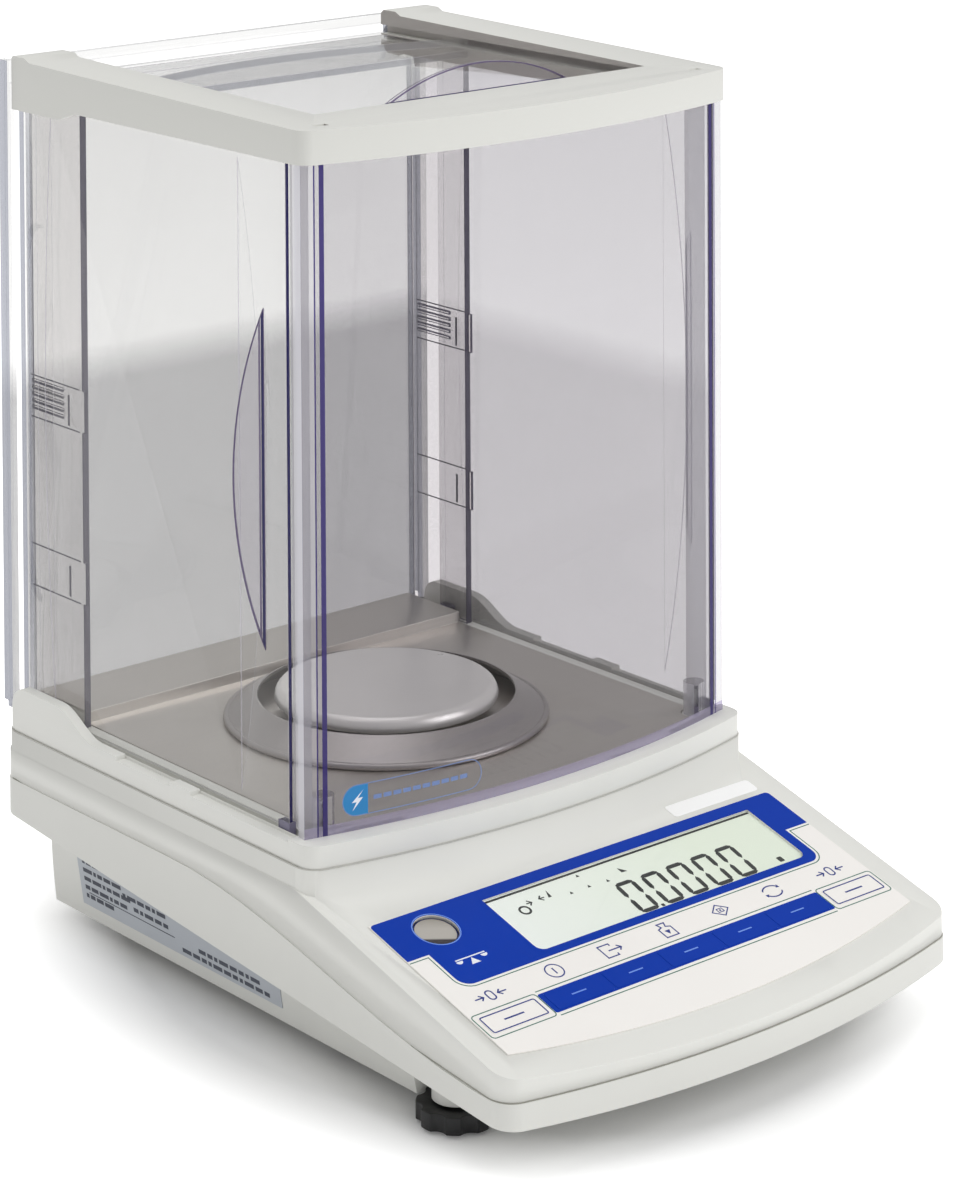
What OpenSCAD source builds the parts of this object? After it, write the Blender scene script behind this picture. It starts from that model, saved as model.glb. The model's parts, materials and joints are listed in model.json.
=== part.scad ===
// Analytical balance with a clear draft shield, built as an assembly of separate parts.
// Millimetres, +Z up, front of the balance towards -Y. The table is Z = 0 and the
// origin is the middle of the footprint.

/* [Base] */
// Width across the lower case
body_w = 198; // [194:1:202]
// Depth from the nose to the back of the rear wall
body_d = 292; // [288:1:300]
// Radius of the bow that the nose, deck, front pane and roof frame share
bow_r = 370; // [340:5:420]
// Wall of the moulded cases
wall = 2.5; // [2:0.1:3]
// Slope of the control panel in degrees
panel_slope = 15; // [12:0.5:17]

/* [Weighing chamber] */
// Height of the deck that carries the chamber
deck_top = 75; // [74:0.5:77]
// Height of the glazing above the deck
pane_h = 223.5; // [200:0.5:240]
// Thickness of the clear panes and doors
pane_t = 3; // [2.6:0.1:3]
// How far the left door stands open
left_door_gap = 6; // [0:0.5:20]

/* [Pan] */
// Diameter of the weighing pan
pan_d = 80; // [70:1:84]
// Height of the pan's top face
pan_top = 87; // [85:0.5:92]

/* [Feet] */
// Diameter of the levelling knobs
knob_d = 26; // [22:1:28]
// Diameter of the levelling studs
stud_d = 6; // [5:0.5:7]

/* [Hidden] */
$fn = 48;
far = 400;

// Case levels
half_w = body_w / 2;
nose_y = -body_d / 2;
rear_y = body_d / 2 - 0.5;
belly_z = 5.5;
deck_z = deck_top - 7.7;
seam_rear_z = 50.5;
seam_nose_z = 25;
skirt_rear_z = 38;
skirt_nose_z = 15.5;
corner_r = 9;

// Control panel
panel_y = -55.2;
panel_z = 53.4;
film_half_w = 89.3;
film_t = 0.4;
film_len = 81.5;
deck_front_y = nose_y + 97.5;

// Display, level and keys, in the panel's own frame
lcd_x = 14.2;
lcd_s = 20.2;
lcd_w = 121;
lcd_h = 30;
level_x = -70;
level_s = 11;
level_r = 8.2;
key_s = 57;
key_pitch = 24.3;
key_end_x = 75.5;
key_w = 23.2;
key_h = 8.6;
key_gap = 0.25;
key_stem_r = 1.6;

// Chamber glazing
pane_top = deck_top + pane_h;
pane_front_y = nose_y + 105.5;
pane_half_w = 94;
door_out_x = 93.2;
door_in_x = door_out_x - pane_t;
door_bottom = deck_top - 0.4;
door_top = pane_top + 0.7;
door_len = 151;
glide_len = 5.8;
door_front_y = pane_front_y + 15.3;
side_pane_x = 89.2;
side_pane_y = 105.2;
wall_y = rear_y - 5;
rib_x = 87.3;
rib_t = 2;
boss_x = 83.5;
boss_y = -24.5;
boss_r = 3.8;

// Roof frame
frame_half_w = 95.4;
frame_bottom = pane_top - 4.2;
frame_front_z = frame_bottom + 11;
frame_rear_z = frame_bottom + 14.5;
frame_front_y = nose_y + 103;
frame_rear_y = wall_y - 0.3;
rail_in_x = 74;
roof_front_y = -10;
roof_door_top = frame_bottom + 9.9;
roof_door_z = roof_door_top - pane_t;
roof_door_half = 77;
roof_pane_top = roof_door_z - 0.8;
roof_pane_y = 88;

// Pan and its carrier
pan_y = 46.5;
pan_r = pan_d / 2;
ring_out_r = 58;
ring_in_r = 46;
floor_z = deck_top - 0.7;
floor_t = 1;
floor_step_y = 109.5;
floor_step = 4;
floor_half = 86;

// Weighing mechanism
guide_front_y = 50;
guide_rear_y = 102;
guide_low_z = 24;
guide_high_z = 52.5;
guide_t = 1.2;
rod_r = 1.5;
rod_gap = 0.06;
lever_pivot_y = 66;
lever_z = 38;
lever_tip_y = 52;
base_plate_z = 12;
base_plate_top = 17;

// Fixings
bolt_x = 78;
bolt_ys = [-29, 112];
bolt_r = 2;
foot_x = 80.5;
foot_y = -88.5;
boss_bottom = 8;
knob_z = 1.2;
knob_h = 5.8;
pad_r = 8;
insert_r = 5;
foot_bore_r = stud_d / 2 + 0.05;
belly_front_y = -75.5;
belly_rear_y = 131;
belly_bottom_half = 85.5;
belly_top_half = 91;
belly_top_z = 40;
board_z = 13;
board_t = 1.6;
jack_x = 30;
port_x = -20;
port_z = 22;
jackscrew_spacing = 25;
jackscrew_hole_r = 1.25;
screw_r = 1.5;
clearance_r = 1.7;
board_screws_at = [for (x = [-60, 60], y = [-62, -14]) [x, y]];
base_screws_at = [for (x = [-48, 48], y = [10, 114]) [x, y]];
bolts_at = [for (x = [-bolt_x, bolt_x], y = bolt_ys) [x, y]];
column_r = 5.5;
tab_x = 68;
tab_w = 16;
frame_screw_x = 82;
frame_screw_z = frame_bottom + 6;
rear_foot_x = 60;
rear_foot_y = 105;
rear_foot_stem_r = 2.5;

// Film and label
adhesive_t = 0.02;
label_t = 0.25;
label_front_y = -6;
label_rear_y = 111;
label_low_z = 10.5;
label_high_z = 34;

// Height of the joint between the upper and lower case at depth y
function seam_z(y) =
    y > 40 ? seam_rear_z :
    y < -135 ? seam_nose_z :
    seam_nose_z + (seam_rear_z - seam_nose_z) * (1 + cos(180 * (40 - y) / 175)) / 2;

// Height of the lower edge of the case's skirt at depth y
function skirt_z(y) =
    skirt_nose_z + (skirt_rear_z - skirt_nose_z) * (y - nose_y) / (rear_y - nose_y);

// Height of the control panel at depth y
function panel_height(y) = panel_z + (y - panel_y) * tan(panel_slope);

// Front edge of a bowed outline at half width x
function bow_y(front, r, x) = front + r - sqrt(r * r - x * x);

// Spirit level, upright under its window in the panel
vial_y = panel_y - level_s * cos(panel_slope);
vial_top = panel_height(vial_y) - 2.6;
liquid_r = 5.6;
liquid_h = 6.5;

// Places children on the control panel: x across, -y down the slope, z out of it
module on_panel() {
    translate([0, panel_y, panel_z])
        rotate([panel_slope, 0, 0])
            children();
}

// Mirrors children to the left side as well
module both_sides() {
    children();
    mirror([1, 0, 0])
        children();
}

// Extrudes a side view, drawn as [y, z], across the width
module side_view(width) {
    rotate([90, 0, 90])
        linear_extrude(height = width, center = true)
            children();
}

// Extrudes a front view, drawn as [x, z], from y_from back to y_to
module front_view(y_from, y_to) {
    translate([0, y_to, 0])
        rotate([90, 0, 0])
            linear_extrude(height = y_to - y_from)
                children();
}

// Plan outline with a bowed front and rounded corners
module bowed_plan(half, front, rear, r_front, r_rear, bow = bow_r) {
    arc_y = front + bow;
    corner_x = half - r_front;
    corner_y = arc_y - sqrt(pow(bow - r_front, 2) - pow(corner_x, 2));
    tangent_x = corner_x * bow / (bow - r_front);
    intersection() {
        translate([0, arc_y])
            circle(r = bow, $fn = 360);
        translate([-tangent_x, front - 1])
            square([2 * tangent_x, corner_y - front + 2]);
    }
    for (side = [-1, 1]) {
        translate([side * corner_x, corner_y])
            circle(r = r_front);
        translate([side * (half - r_rear), rear - r_rear])
            circle(r = r_rear);
    }
    translate([-half, corner_y])
        square([2 * half, rear - r_rear - corner_y]);
    translate([r_rear - half, corner_y])
        square([2 * (half - r_rear), rear - corner_y]);
}

// Rectangle with rounded corners, centred
module rounded_plate(w, d, r) {
    square([w - 2 * r, d], center = true);
    square([w, d - 2 * r], center = true);
    for (x = [-1, 1], y = [-1, 1])
        translate([x * (w / 2 - r), y * (d / 2 - r)])
            circle(r = r);
}

// Circle segment with its chord on the x axis
module segment(chord, height) {
    r = (chord * chord / 4 + height * height) / (2 * height);
    intersection() {
        translate([0, height - r])
            circle(r = r, $fn = 180);
        translate([-chord, 0])
            square([2 * chord, height + 1]);
    }
}

// Screw with a flat head, head up, tip at the origin
module screw(r, length, head_r, head_h) {
    cylinder(r = r, h = length);
    translate([0, 0, length])
        difference() {
            cylinder(r = head_r, h = head_h);
            translate([0, 0, head_h / 2])
                for (turn = [0, 90])
                    rotate([0, 0, turn])
                        translate([-head_r * 0.6, -0.4, 0])
                            cube([head_r * 1.2, 0.8, head_h]);
        }
}

// ---------- Cases ----------

// Belly of the lower case: drafted sides, rounded corners
module belly_solid(inset) {
    intersection() {
        front_view(belly_front_y + inset, belly_rear_y - inset)
            polygon([
                [-belly_bottom_half + inset, belly_z + inset],
                [belly_bottom_half - inset, belly_z + inset],
                [belly_top_half - inset, belly_top_z + inset],
                [-belly_top_half + inset, belly_top_z + inset]
            ]);
        translate([0, (belly_front_y + belly_rear_y) / 2, 0])
            linear_extrude(height = belly_top_z + inset)
                rounded_plate(
                    2 * (belly_top_half - inset),
                    belly_rear_y - belly_front_y - 2 * inset,
                    corner_r - inset);
    }
}

// Band of the lower case between its skirt and the seam
module lower_band(inset, lift, top_lift) {
    intersection() {
        linear_extrude(height = far)
            bowed_plan(half_w - inset, nose_y + inset, rear_y - inset,
                corner_r - inset, corner_r - inset);
        side_view(far)
            polygon([
                for (i = [0:20]) let (y = rear_y - i * body_d / 20) [y, seam_z(y) + top_lift],
                [nose_y - 1, seam_nose_z + top_lift],
                [nose_y - 1, skirt_z(nose_y) + lift],
                [rear_y, skirt_z(rear_y) + lift]
            ]);
    }
}

module lower_case() {
    color([0.88, 0.88, 0.86])
    difference() {
        union() {
            difference() {
                union() {
                    lower_band(0, 0, 0);
                    belly_solid(0);
                }
                lower_band(wall, wall, 20);
                belly_solid(wall);
            }
            intersection() {
                union() {
                    lower_case_posts();
                    foot_bosses();
                }
                union() {
                    lower_band(0, 0, 0);
                    translate([-half_w, -110, 0])
                        cube([body_w, 240, 30]);
                }
            }
        }
        for (at = bolts_at)
            translate(at) {
                cylinder(r = bolt_r + 0.2, h = 40);
                cylinder(r = bolt_r + 2.2, h = belly_z + 4);
            }
        for (x = [-foot_x, foot_x])
            translate([x, foot_y, 0])
                cylinder(r = insert_r, h = 26);
        for (x = [-rear_foot_x, rear_foot_x])
            translate([x, rear_foot_y, 0])
                cylinder(r = rear_foot_stem_r, h = 12);
        rear_port_holes();
        lower_case_vents();
    }
}

// Posts that carry the boards, the sensor base and the case bolts
module lower_case_posts() {
    for (at = bolts_at)
        translate([at.x, at.y, belly_z])
            cylinder(r = column_r, h = 30 - belly_z);
    for (at = base_screws_at)
        translate(at)
            screw_post(4, 1.25, base_plate_z);
    for (at = board_screws_at)
        translate(at)
            screw_post(3, 1, board_z);
}

// Post on the belly's floor with a blind hole for a screw
module screw_post(post_r, hole_r, top_z) {
    translate([0, 0, belly_z + 1])
        difference() {
            cylinder(r = post_r, h = top_z - belly_z - 1);
            translate([0, 0, 2.5])
                cylinder(r = hole_r, h = 10);
        }
}

// Bosses under the nose that hold the levelling feet
module foot_bosses() {
    for (x = [-foot_x, foot_x])
        translate([x, foot_y, boss_bottom])
            cylinder(r = 8, h = 22);
}

module rear_port_holes() {
    translate([port_x, belly_rear_y, port_z])
        cube([20, 20, 10.5], center = true);
    for (x = [-1, 1])
        translate([port_x + x * jackscrew_spacing / 2, belly_rear_y, port_z])
            rotate([90, 0, 0])
                cylinder(r = clearance_r, h = 20, center = true);
    translate([jack_x, belly_rear_y, port_z])
        cube([9.4, 20, 11.4], center = true);
}

module lower_case_vents() {
    for (i = [0:7])
        translate([-24.5 + 7 * i, -40, 0])
            cube([3, 30, belly_z + wall + 1]);
}

// Body of the upper case above the seam: the sloping panel and the wall under the deck
module upper_body(inset, drop, rise) {
    intersection() {
        linear_extrude(height = far)
            bowed_plan(half_w - 0.3 - inset, nose_y + 0.4 + inset, rear_y - inset,
                corner_r - inset, corner_r - inset);
        side_view(far)
            polygon([
                for (i = [0:20]) let (y = rear_y - i * body_d / 20) [y, seam_z(y) - drop],
                [nose_y - 1, seam_nose_z - drop],
                [nose_y - 1, panel_height(nose_y - 1) - inset / cos(panel_slope)],
                [deck_front_y + 20, panel_height(deck_front_y + 20) - inset / cos(panel_slope)],
                [rear_y, panel_height(deck_front_y + 20) - inset / cos(panel_slope)]
            ]);
    }
    translate([0, 0, seam_rear_z + 2 - drop])
        linear_extrude(height = deck_z - seam_rear_z - 2 + drop + rise)
            bowed_plan(half_w - 0.8 - inset, deck_front_y + inset, rear_y - 0.5 - inset,
                corner_r - 0.8 - inset, corner_r - 0.5 - inset);
}

// Outline of the opening round a key
module key_opening() {
    square([key_w + 2 * key_gap, key_h + 2 * key_gap], center = true);
}

// Openings in the control panel for the display, the level and the keys
module panel_openings() {
    on_panel() {
        translate([lcd_x, -lcd_s, -10])
            linear_extrude(height = 20)
                square([lcd_w, lcd_h], center = true);
        translate([level_x, -level_s, -10])
            cylinder(r = level_r, h = 20);
        for (x = KEY_XS)
            translate([x, -key_s, 0]) {
                translate([0, 0, -1.2])
                    linear_extrude(height = 3)
                        key_opening();
                translate([0, 0, -10])
                    cylinder(r = key_stem_r + 0.3, h = 20);
            }
    }
}

module upper_case() {
    color([0.93, 0.93, 0.91])
    difference() {
        union() {
            difference() {
                upper_body(0, 0, 0);
                upper_body(wall, 20, 1);
            }
            upper_case_columns();
        }
        panel_openings();
        for (at = bolts_at)
            translate([at.x, at.y, 25])
                cylinder(r = bolt_r + 0.2, h = 40);
    }
}

// Columns that the case bolts pass through, tied to the side walls
module upper_case_columns() {
    both_sides()
        for (y = bolt_ys) {
            translate([bolt_x, y, 30])
                cylinder(r = column_r, h = 29);
            translate([bolt_x + 4, y - 1.5, seam_rear_z + 1])
                cube([half_w - bolt_x - 5.5, 3, 7]);
        }
}

// ---------- Chamber ----------

// Side view of the raised shoulder at the back of each door rail
module shoulder_profile() {
    low = deck_top + 0.4;
    high = deck_top + 8.6;
    polygon([
        [86, deck_z + 1],
        for (i = [0:10]) [88 + 24 * i / 10, low + (high - low) * (1 - cos(18 * i)) / 2],
        for (i = [0:6]) [wall_y - 8 + 7 * sin(15 * i), high - 7 + 7 * cos(15 * i)],
        [wall_y - 1, deck_z + 1]
    ]);
}

// Outline of the stainless floor, held clear of the screw bosses
module floor_plan(gap) {
    difference() {
        bowed_plan(floor_half - gap, pane_front_y + 5 + gap, floor_step_y + 10, 4, 1);
        for (x = [-boss_x, boss_x])
            translate([x, boss_y])
                circle(r = boss_r + 0.5 + gap);
    }
}

module chamber_deck() {
    deck_half = half_w - 1.5;
    lip_x = door_out_x + 0.3;
    lip_w = deck_half - lip_x;
    color([0.93, 0.93, 0.91])
    difference() {
        union() {
            translate([0, 0, deck_z])
                linear_extrude(height = deck_top - deck_z)
                    bowed_plan(deck_half, deck_front_y + 0.4, rear_y - 1, 7, 7.5);
            both_sides() {
                translate([lip_x + lip_w / 2, 0, 0])
                    side_view(lip_w)
                        shoulder_profile();
                for (pad = [[30, 12], [74, 14]])
                    translate([lip_x, pad[0], deck_top - 2])
                        cube([lip_w, pad[1], 2.4]);
            }
            for (at = bolts_at)
                translate([at.x, at.y, deck_z - 6.3])
                    cylinder(r = column_r, h = 7);
            translate([-floor_half, floor_step_y, deck_top - 1])
                cube([2 * floor_half, wall_y - floor_step_y, floor_step - 0.7 + 1]);
        }
        // Lower lip outside the door rails
        both_sides()
            for (span = [[-24, 54], [42, 32]])
                translate([lip_x, span[0], deck_top - 1])
                    cube([20, span[1], 2]);
        // Door rails, open at the rear
        both_sides()
            translate([door_in_x - 0.2, door_front_y - 1, deck_top - 2.2])
                cube([pane_t + 0.4, far, 4]);
        translate([0, 0, floor_z])
            linear_extrude(height = 5)
                intersection() {
                    floor_plan(0);
                    translate([-100, -100])
                        square([200, 100 + floor_step_y]);
                }
        translate([0, pan_y, deck_z - 1])
            cylinder(r = 9, h = 20);
        // Screw holes under the front pane's bosses
        for (x = [-boss_x, boss_x])
            translate([x, boss_y, deck_z - 1]) {
                cylinder(r = clearance_r, h = 20);
                cylinder(r = 3.2, h = 3);
            }
        for (at = bolts_at)
            translate([at.x, at.y, deck_z - 7])
                cylinder(r = bolt_r, h = 11.5);
        // Seats for the rear wall's tabs
        for (x = [-tab_x, tab_x]) {
            translate([x - tab_w / 2 - 0.2, wall_y, deck_top - 6.2])
                cube([tab_w + 0.4, 20, 20]);
            translate([x, wall_y + 1, deck_top - 3])
                rotate([90, 0, 0])
                    cylinder(r = screw_r, h = 10);
        }
        // Land for the bottom edge of the rear wall
        translate([-far / 2, wall_y, deck_top])
            cube([far, 20, 20]);
    }
}

module floor_plate() {
    color([0.68, 0.66, 0.63])
    difference() {
        union() {
            translate([0, 0, floor_z])
                linear_extrude(height = floor_t)
                    intersection() {
                        floor_plan(0.3);
                        translate([-100, -100])
                            square([200, 100 + floor_step_y - 0.1]);
                    }
            side_view(2 * floor_half - 0.6)
                polygon([
                    [floor_step_y - 1.1, floor_z],
                    [floor_step_y - 0.1, floor_z],
                    [floor_step_y - 0.1, floor_z + floor_step],
                    [wall_y - 0.5, floor_z + floor_step],
                    [wall_y - 0.5, floor_z + floor_step + floor_t],
                    [floor_step_y - 1.1, floor_z + floor_step + floor_t]
                ]);
        }
        translate([0, pan_y, deck_z])
            cylinder(r = 11, h = 20);
    }
}

module wind_ring() {
    rim_z = floor_z + floor_t;
    color([0.72, 0.70, 0.67])
    translate([0, pan_y, rim_z])
        rotate_extrude($fn = 96) {
            polygon([
                [ring_out_r - 2, 0.6],
                [ring_out_r - 1, 1.6],
                [ring_in_r + 0.5, 8.6],
                [ring_in_r, 8.6],
                [ring_in_r, 7.6]
            ]);
            translate([ring_out_r - 1.2, 1.2])
                circle(r = 1.2);
        }
}

module pan() {
    edge_r = 2.4;
    color([0.80, 0.79, 0.77])
    translate([0, pan_y, 0])
        rotate_extrude($fn = 96) {
            translate([0, pan_top - 1])
                square([pan_r - edge_r, 1]);
            translate([pan_r - edge_r, pan_top - edge_r])
                intersection() {
                    difference() {
                        circle(r = edge_r);
                        circle(r = edge_r - 1);
                    }
                    square(edge_r);
                }
            translate([pan_r - 1, pan_top - edge_r - 2.6])
                square([1, 2.6]);
            translate([pan_r - 1.2, pan_top - edge_r - 2.6])
                circle(r = 0.8);
            translate([4.05, pan_top - 3])
                square([5, 2.5]);
        }
}

module pan_support() {
    color([0.75, 0.75, 0.76])
    translate([0, pan_y, 0])
        rotate_extrude() {
            translate([0, 56])
                square([4.5, pan_top - 5 - 56]);
            translate([0, pan_top - 5.5])
                square([20, 1.5]);
            translate([0, pan_top - 5])
                square([9, 2]);
            translate([0, pan_top - 4])
                square([4, 2.8]);
        }
}

// Plan of the bowed front pane with its corner ribs and returns
module pane_plan(gap) {
    intersection() {
        difference() {
            translate([0, pane_front_y + bow_r])
                circle(r = bow_r + gap, $fn = 360);
            translate([0, pane_front_y + bow_r])
                circle(r = bow_r - pane_t - gap, $fn = 360);
        }
        translate([-pane_half_w - gap, pane_front_y - 5])
            square([2 * (pane_half_w + gap), 25]);
    }
    both_sides() {
        translate([rib_x - gap, bow_y(pane_front_y, bow_r, rib_x) + 1])
            square([rib_t + 2 * gap, 12.5 + gap]);
        translate([pane_half_w - 2.2 - gap, bow_y(pane_front_y, bow_r, pane_half_w) + 0.8])
            square([2.2 + 2 * gap, 1.5 + gap]);
    }
}

module front_pane() {
    color([0.75, 0.75, 0.82, 0.35])
    difference() {
        union() {
            translate([0, 0, deck_top])
                linear_extrude(height = pane_h)
                    pane_plan(0);
            for (x = [-boss_x, boss_x])
                translate([x, boss_y, deck_top])
                    cylinder(r = boss_r, h = 11.5);
        }
        for (x = [-boss_x, boss_x])
            translate([x, boss_y, deck_top - 1])
                cylinder(r = screw_r, h = 10.5);
    }
}

// Rear pane on one side, with two clips on its front edge and grips moulded beside the upper one
module side_pane() {
    side_pane_t = 2.6;
    clip_t = 1;
    color([0.75, 0.75, 0.80, 0.35])
    difference() {
        union() {
            translate([side_pane_x - side_pane_t, side_pane_y, deck_top])
                cube([side_pane_t, wall_y - side_pane_y - 0.2, pane_h]);
            for (clip = [[119, 15], [180, 15]])
                translate([side_pane_x - clip_t, side_pane_y - 1.4, clip[0]])
                    cube([clip_t, 2, clip[1]]);
        }
        for (i = [0:4])
            translate([side_pane_x - 0.6, side_pane_y + 12, 183 + 2.4 * i])
                cube([1, 20, 1]);
    }
}

module side_pane_right() {
    side_pane();
}

module side_pane_left() {
    mirror([1, 0, 0])
        side_pane();
}

// Screws that hold the rear wall, as [x, z]
WALL_SCREWS = [
    for (side = [-1, 1])
        each [[side * tab_x, deck_top - 3], [side * frame_screw_x, frame_screw_z]]
];

module rear_wall() {
    wall_top = frame_rear_z - 0.4;
    color([0.78, 0.78, 0.82, 0.35])
    difference() {
        union() {
            translate([-96.6, wall_y, deck_top])
                cube([193.2, 3, wall_top - deck_top]);
            both_sides()
                translate([94.2, wall_y, deck_top + 2])
                    cube([2.4, 5.5, wall_top - deck_top - 2]);
            for (x = [-tab_x, tab_x])
                translate([x - tab_w / 2, wall_y, deck_top - 6])
                    cube([tab_w, 3, 7]);
        }
        both_sides()
            translate([door_in_x - 0.4, wall_y - 1, deck_top - 1])
                cube([pane_t + 0.8, 10, door_top - deck_top + 1.6]);
        translate([-roof_door_half - 0.5, wall_y - 1, roof_door_z - 0.3])
            cube([2 * roof_door_half + 1, 10, pane_t + 0.6]);
        for (at = WALL_SCREWS)
            translate([at[0], wall_y + 5, at[1]])
                rotate([90, 0, 0])
                    cylinder(r = clearance_r, h = 10);
    }
}

module roof_pane() {
    roof_pane_t = 2.8;
    color([0.75, 0.75, 0.80, 0.35])
    translate([-roof_door_half, roof_pane_y, roof_pane_top - roof_pane_t])
        cube([2 * roof_door_half, frame_rear_y - roof_pane_y, roof_pane_t]);
}

// Side view of the roof frame, rising to a rounded bump at the rear
module frame_profile() {
    bump_y = frame_rear_y - 12;
    bump_h = 1.4;
    skirt_y = 97;
    skirt_len = 15;
    skirt_h = 3.3;
    polygon([
        [frame_front_y - 1, frame_bottom],
        [skirt_y, frame_bottom],
        for (i = [1:8])
            [skirt_y + skirt_len * i / 8, frame_bottom - skirt_h * (1 - cos(22.5 * i)) / 2],
        [frame_rear_y, frame_bottom - skirt_h],
        [frame_rear_y, frame_rear_z],
        [frame_rear_y - 1.5, frame_rear_z + bump_h],
        [bump_y + 3, frame_rear_z + bump_h],
        [bump_y, frame_rear_z],
        [frame_front_y - 1, frame_front_z]
    ]);
}

// Lightening pockets and pane slots in the roof frame
module frame_slots() {
    translate([0, 0, frame_bottom - 5])
        linear_extrude(height = pane_top + 0.2 - frame_bottom + 5)
            pane_plan(0.15);
    both_sides() {
        translate([door_in_x - 0.25, door_front_y - 0.8, frame_bottom - 5])
            cube([pane_t + 0.5, far, door_top + 0.4 - frame_bottom + 5]);
        translate([side_pane_x - 2.75, side_pane_y - 0.2, frame_bottom - 5])
            cube([6, far, pane_top + 0.2 - frame_bottom + 5]);
        translate([79.6, 0, frame_bottom - 5])
            cube([5, 82, 13]);
        translate([rail_in_x + 3.6, side_pane_y, frame_bottom - 5])
            cube([9.2, far, 5]);
        translate([frame_screw_x, frame_rear_y + 1, frame_screw_z])
            rotate([90, 0, 0])
                cylinder(r = screw_r, h = 11);
    }
    translate([-70, frame_front_y + 8, frame_bottom - 5])
        cube([140, 17, 12]);
    translate([-roof_door_half - 0.3, roof_front_y - 3.4, roof_door_z - 0.2])
        cube([2 * roof_door_half + 0.6, far, pane_t + 0.4]);
    translate([-roof_door_half - 0.2, roof_pane_y - 0.2, roof_pane_top - 2.9])
        cube([2 * roof_door_half + 0.4, far, 3]);
}

module top_frame() {
    color([0.94, 0.94, 0.93])
    difference() {
        intersection() {
            linear_extrude(height = far)
                bowed_plan(frame_half_w, frame_front_y, frame_rear_y, 6, 1);
            side_view(far)
                frame_profile();
        }
        translate([-rail_in_x, roof_front_y, 0])
            cube([2 * rail_in_x, far, far]);
        frame_slots();
        // The skirt alone reaches down behind the doors
        translate([-door_out_x - 0.25, 90, frame_bottom - 10])
            cube([2 * door_out_x + 0.5, far, 10]);
        both_sides()
            translate([81, -27, frame_front_z - 0.1])
                cube([5, 2.6, 5]);
    }
}

// ---------- Doors ----------

// Shallow lens-shaped relief moulded down a side door, bowed towards one end
module door_relief(depth, y_straight, bow) {
    translate([door_out_x, y_straight, (door_bottom + door_top) / 2])
        rotate([90, 0, 90])
            linear_extrude(height = depth)
                rotate([0, 0, bow > 0 ? -90 : 90])
                    segment(door_top - door_bottom - 14, abs(bow));
}

module side_door() {
    color([0.75, 0.75, 0.82, 0.35])
    difference() {
        translate([door_in_x, door_front_y, door_bottom])
            cube([pane_t, door_len, door_top - door_bottom]);
        for (y = [door_front_y - 0.1, door_front_y + door_len - glide_len - 0.1])
            translate([door_in_x - 1, y, door_bottom - 1])
                cube([pane_t + 2, glide_len + 0.2, 4]);
        translate([-0.3, 0, 0]) {
            door_relief(1, door_front_y + 26, -12);
            door_relief(1, door_front_y + 137, 5);
        }
    }
}

module door_right() {
    side_door();
}

module door_left() {
    mirror([1, 0, 0])
        translate([0, left_door_gap, 0])
            side_door();
}

// Finger grip: a segment-shaped fin that leans back from the door
module side_handle() {
    color([0.6, 0.6, 0.8, 0.35])
    difference() {
        translate([door_out_x - 1, door_front_y + 12, deck_top + 113])
            rotate([0, 0, 45])
                rotate([90, -90, 0])
                    linear_extrude(height = 2, center = true)
                        mirror([0, 1])
                            segment(118, 11.4);
        translate([door_out_x - 50, -200, 0])
            cube([50, 400, 400]);
    }
}

module handle_right() {
    side_handle();
}

module handle_left() {
    mirror([1, 0, 0])
        translate([0, left_door_gap, 0])
            side_handle();
}

// Low-friction glides clipped into the door's lower corners
module side_glides() {
    color([0.45, 0.42, 0.62])
    for (y = [door_front_y, door_front_y + door_len - glide_len])
        translate([door_in_x + 0.1, y, deck_top - 2.1])
            cube([pane_t - 0.2, glide_len, door_bottom + 3 - deck_top + 2.1]);
}

module glides_right() {
    side_glides();
}

module glides_left() {
    mirror([1, 0, 0])
        translate([0, left_door_gap, 0])
            side_glides();
}

module door_top_slide() {
    door_y = roof_front_y - 3;
    bow_end = 106;
    arc_r = 220;
    color([0.75, 0.75, 0.82, 0.35])
    translate([0, 0, roof_door_z])
        linear_extrude(height = pane_t)
            intersection() {
                translate([-roof_door_half, door_y])
                    square([2 * roof_door_half, bow_end - door_y]);
                translate([0, bow_end - arc_r])
                    circle(r = arc_r, $fn = 360);
            }
}

module handle_top() {
    color([0.6, 0.6, 0.8, 0.35])
    translate([0, -6, roof_door_top])
        rotate([90, 0, 0])
            linear_extrude(height = 2.2, center = true)
                segment(84, 10.8);
}

// ---------- Control panel ----------

KEY_XS = [-key_end_x, for (i = [-2:2]) i * key_pitch, key_end_x];

module film_outline() {
    intersection() {
        translate([0, bow_r - film_len])
            circle(r = bow_r, $fn = 360);
        translate([0, -film_len / 2])
            rounded_plate(2 * film_half_w, film_len + 8, 4);
        translate([-film_half_w, -film_len - 5])
            square([2 * film_half_w, film_len + 5]);
    }
}

module overlay_film() {
    color([0.95, 0.95, 0.94])
    on_panel()
        translate([0, 0, adhesive_t])
            linear_extrude(height = film_t - adhesive_t)
                difference() {
                    film_outline();
                    translate([lcd_x, -lcd_s])
                        square([lcd_w, lcd_h], center = true);
                    translate([level_x, -level_s])
                        circle(r = level_r - 0.6);
                    for (x = KEY_XS)
                        translate([x, -key_s])
                            key_opening();
                }
}

module lcd_window() {
    color([0.85, 0.90, 0.85, 0.35])
    on_panel()
        translate([lcd_x, -lcd_s, -1.6])
            linear_extrude(height = 1.6 + film_t)
                square([lcd_w - 0.4, lcd_h - 0.4], center = true);
}

module lcd_module() {
    color([0.30, 0.45, 0.35])
    on_panel()
        translate([lcd_x, -lcd_s, 0]) {
            translate([0, 0, -3])
                linear_extrude(height = 1.3)
                    square([lcd_w - 1, lcd_h - 1], center = true);
            translate([0, 0, -8])
                linear_extrude(height = 5.4)
                    rounded_plate(lcd_w + 8, lcd_h + 6, 1.5);
        }
}

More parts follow.
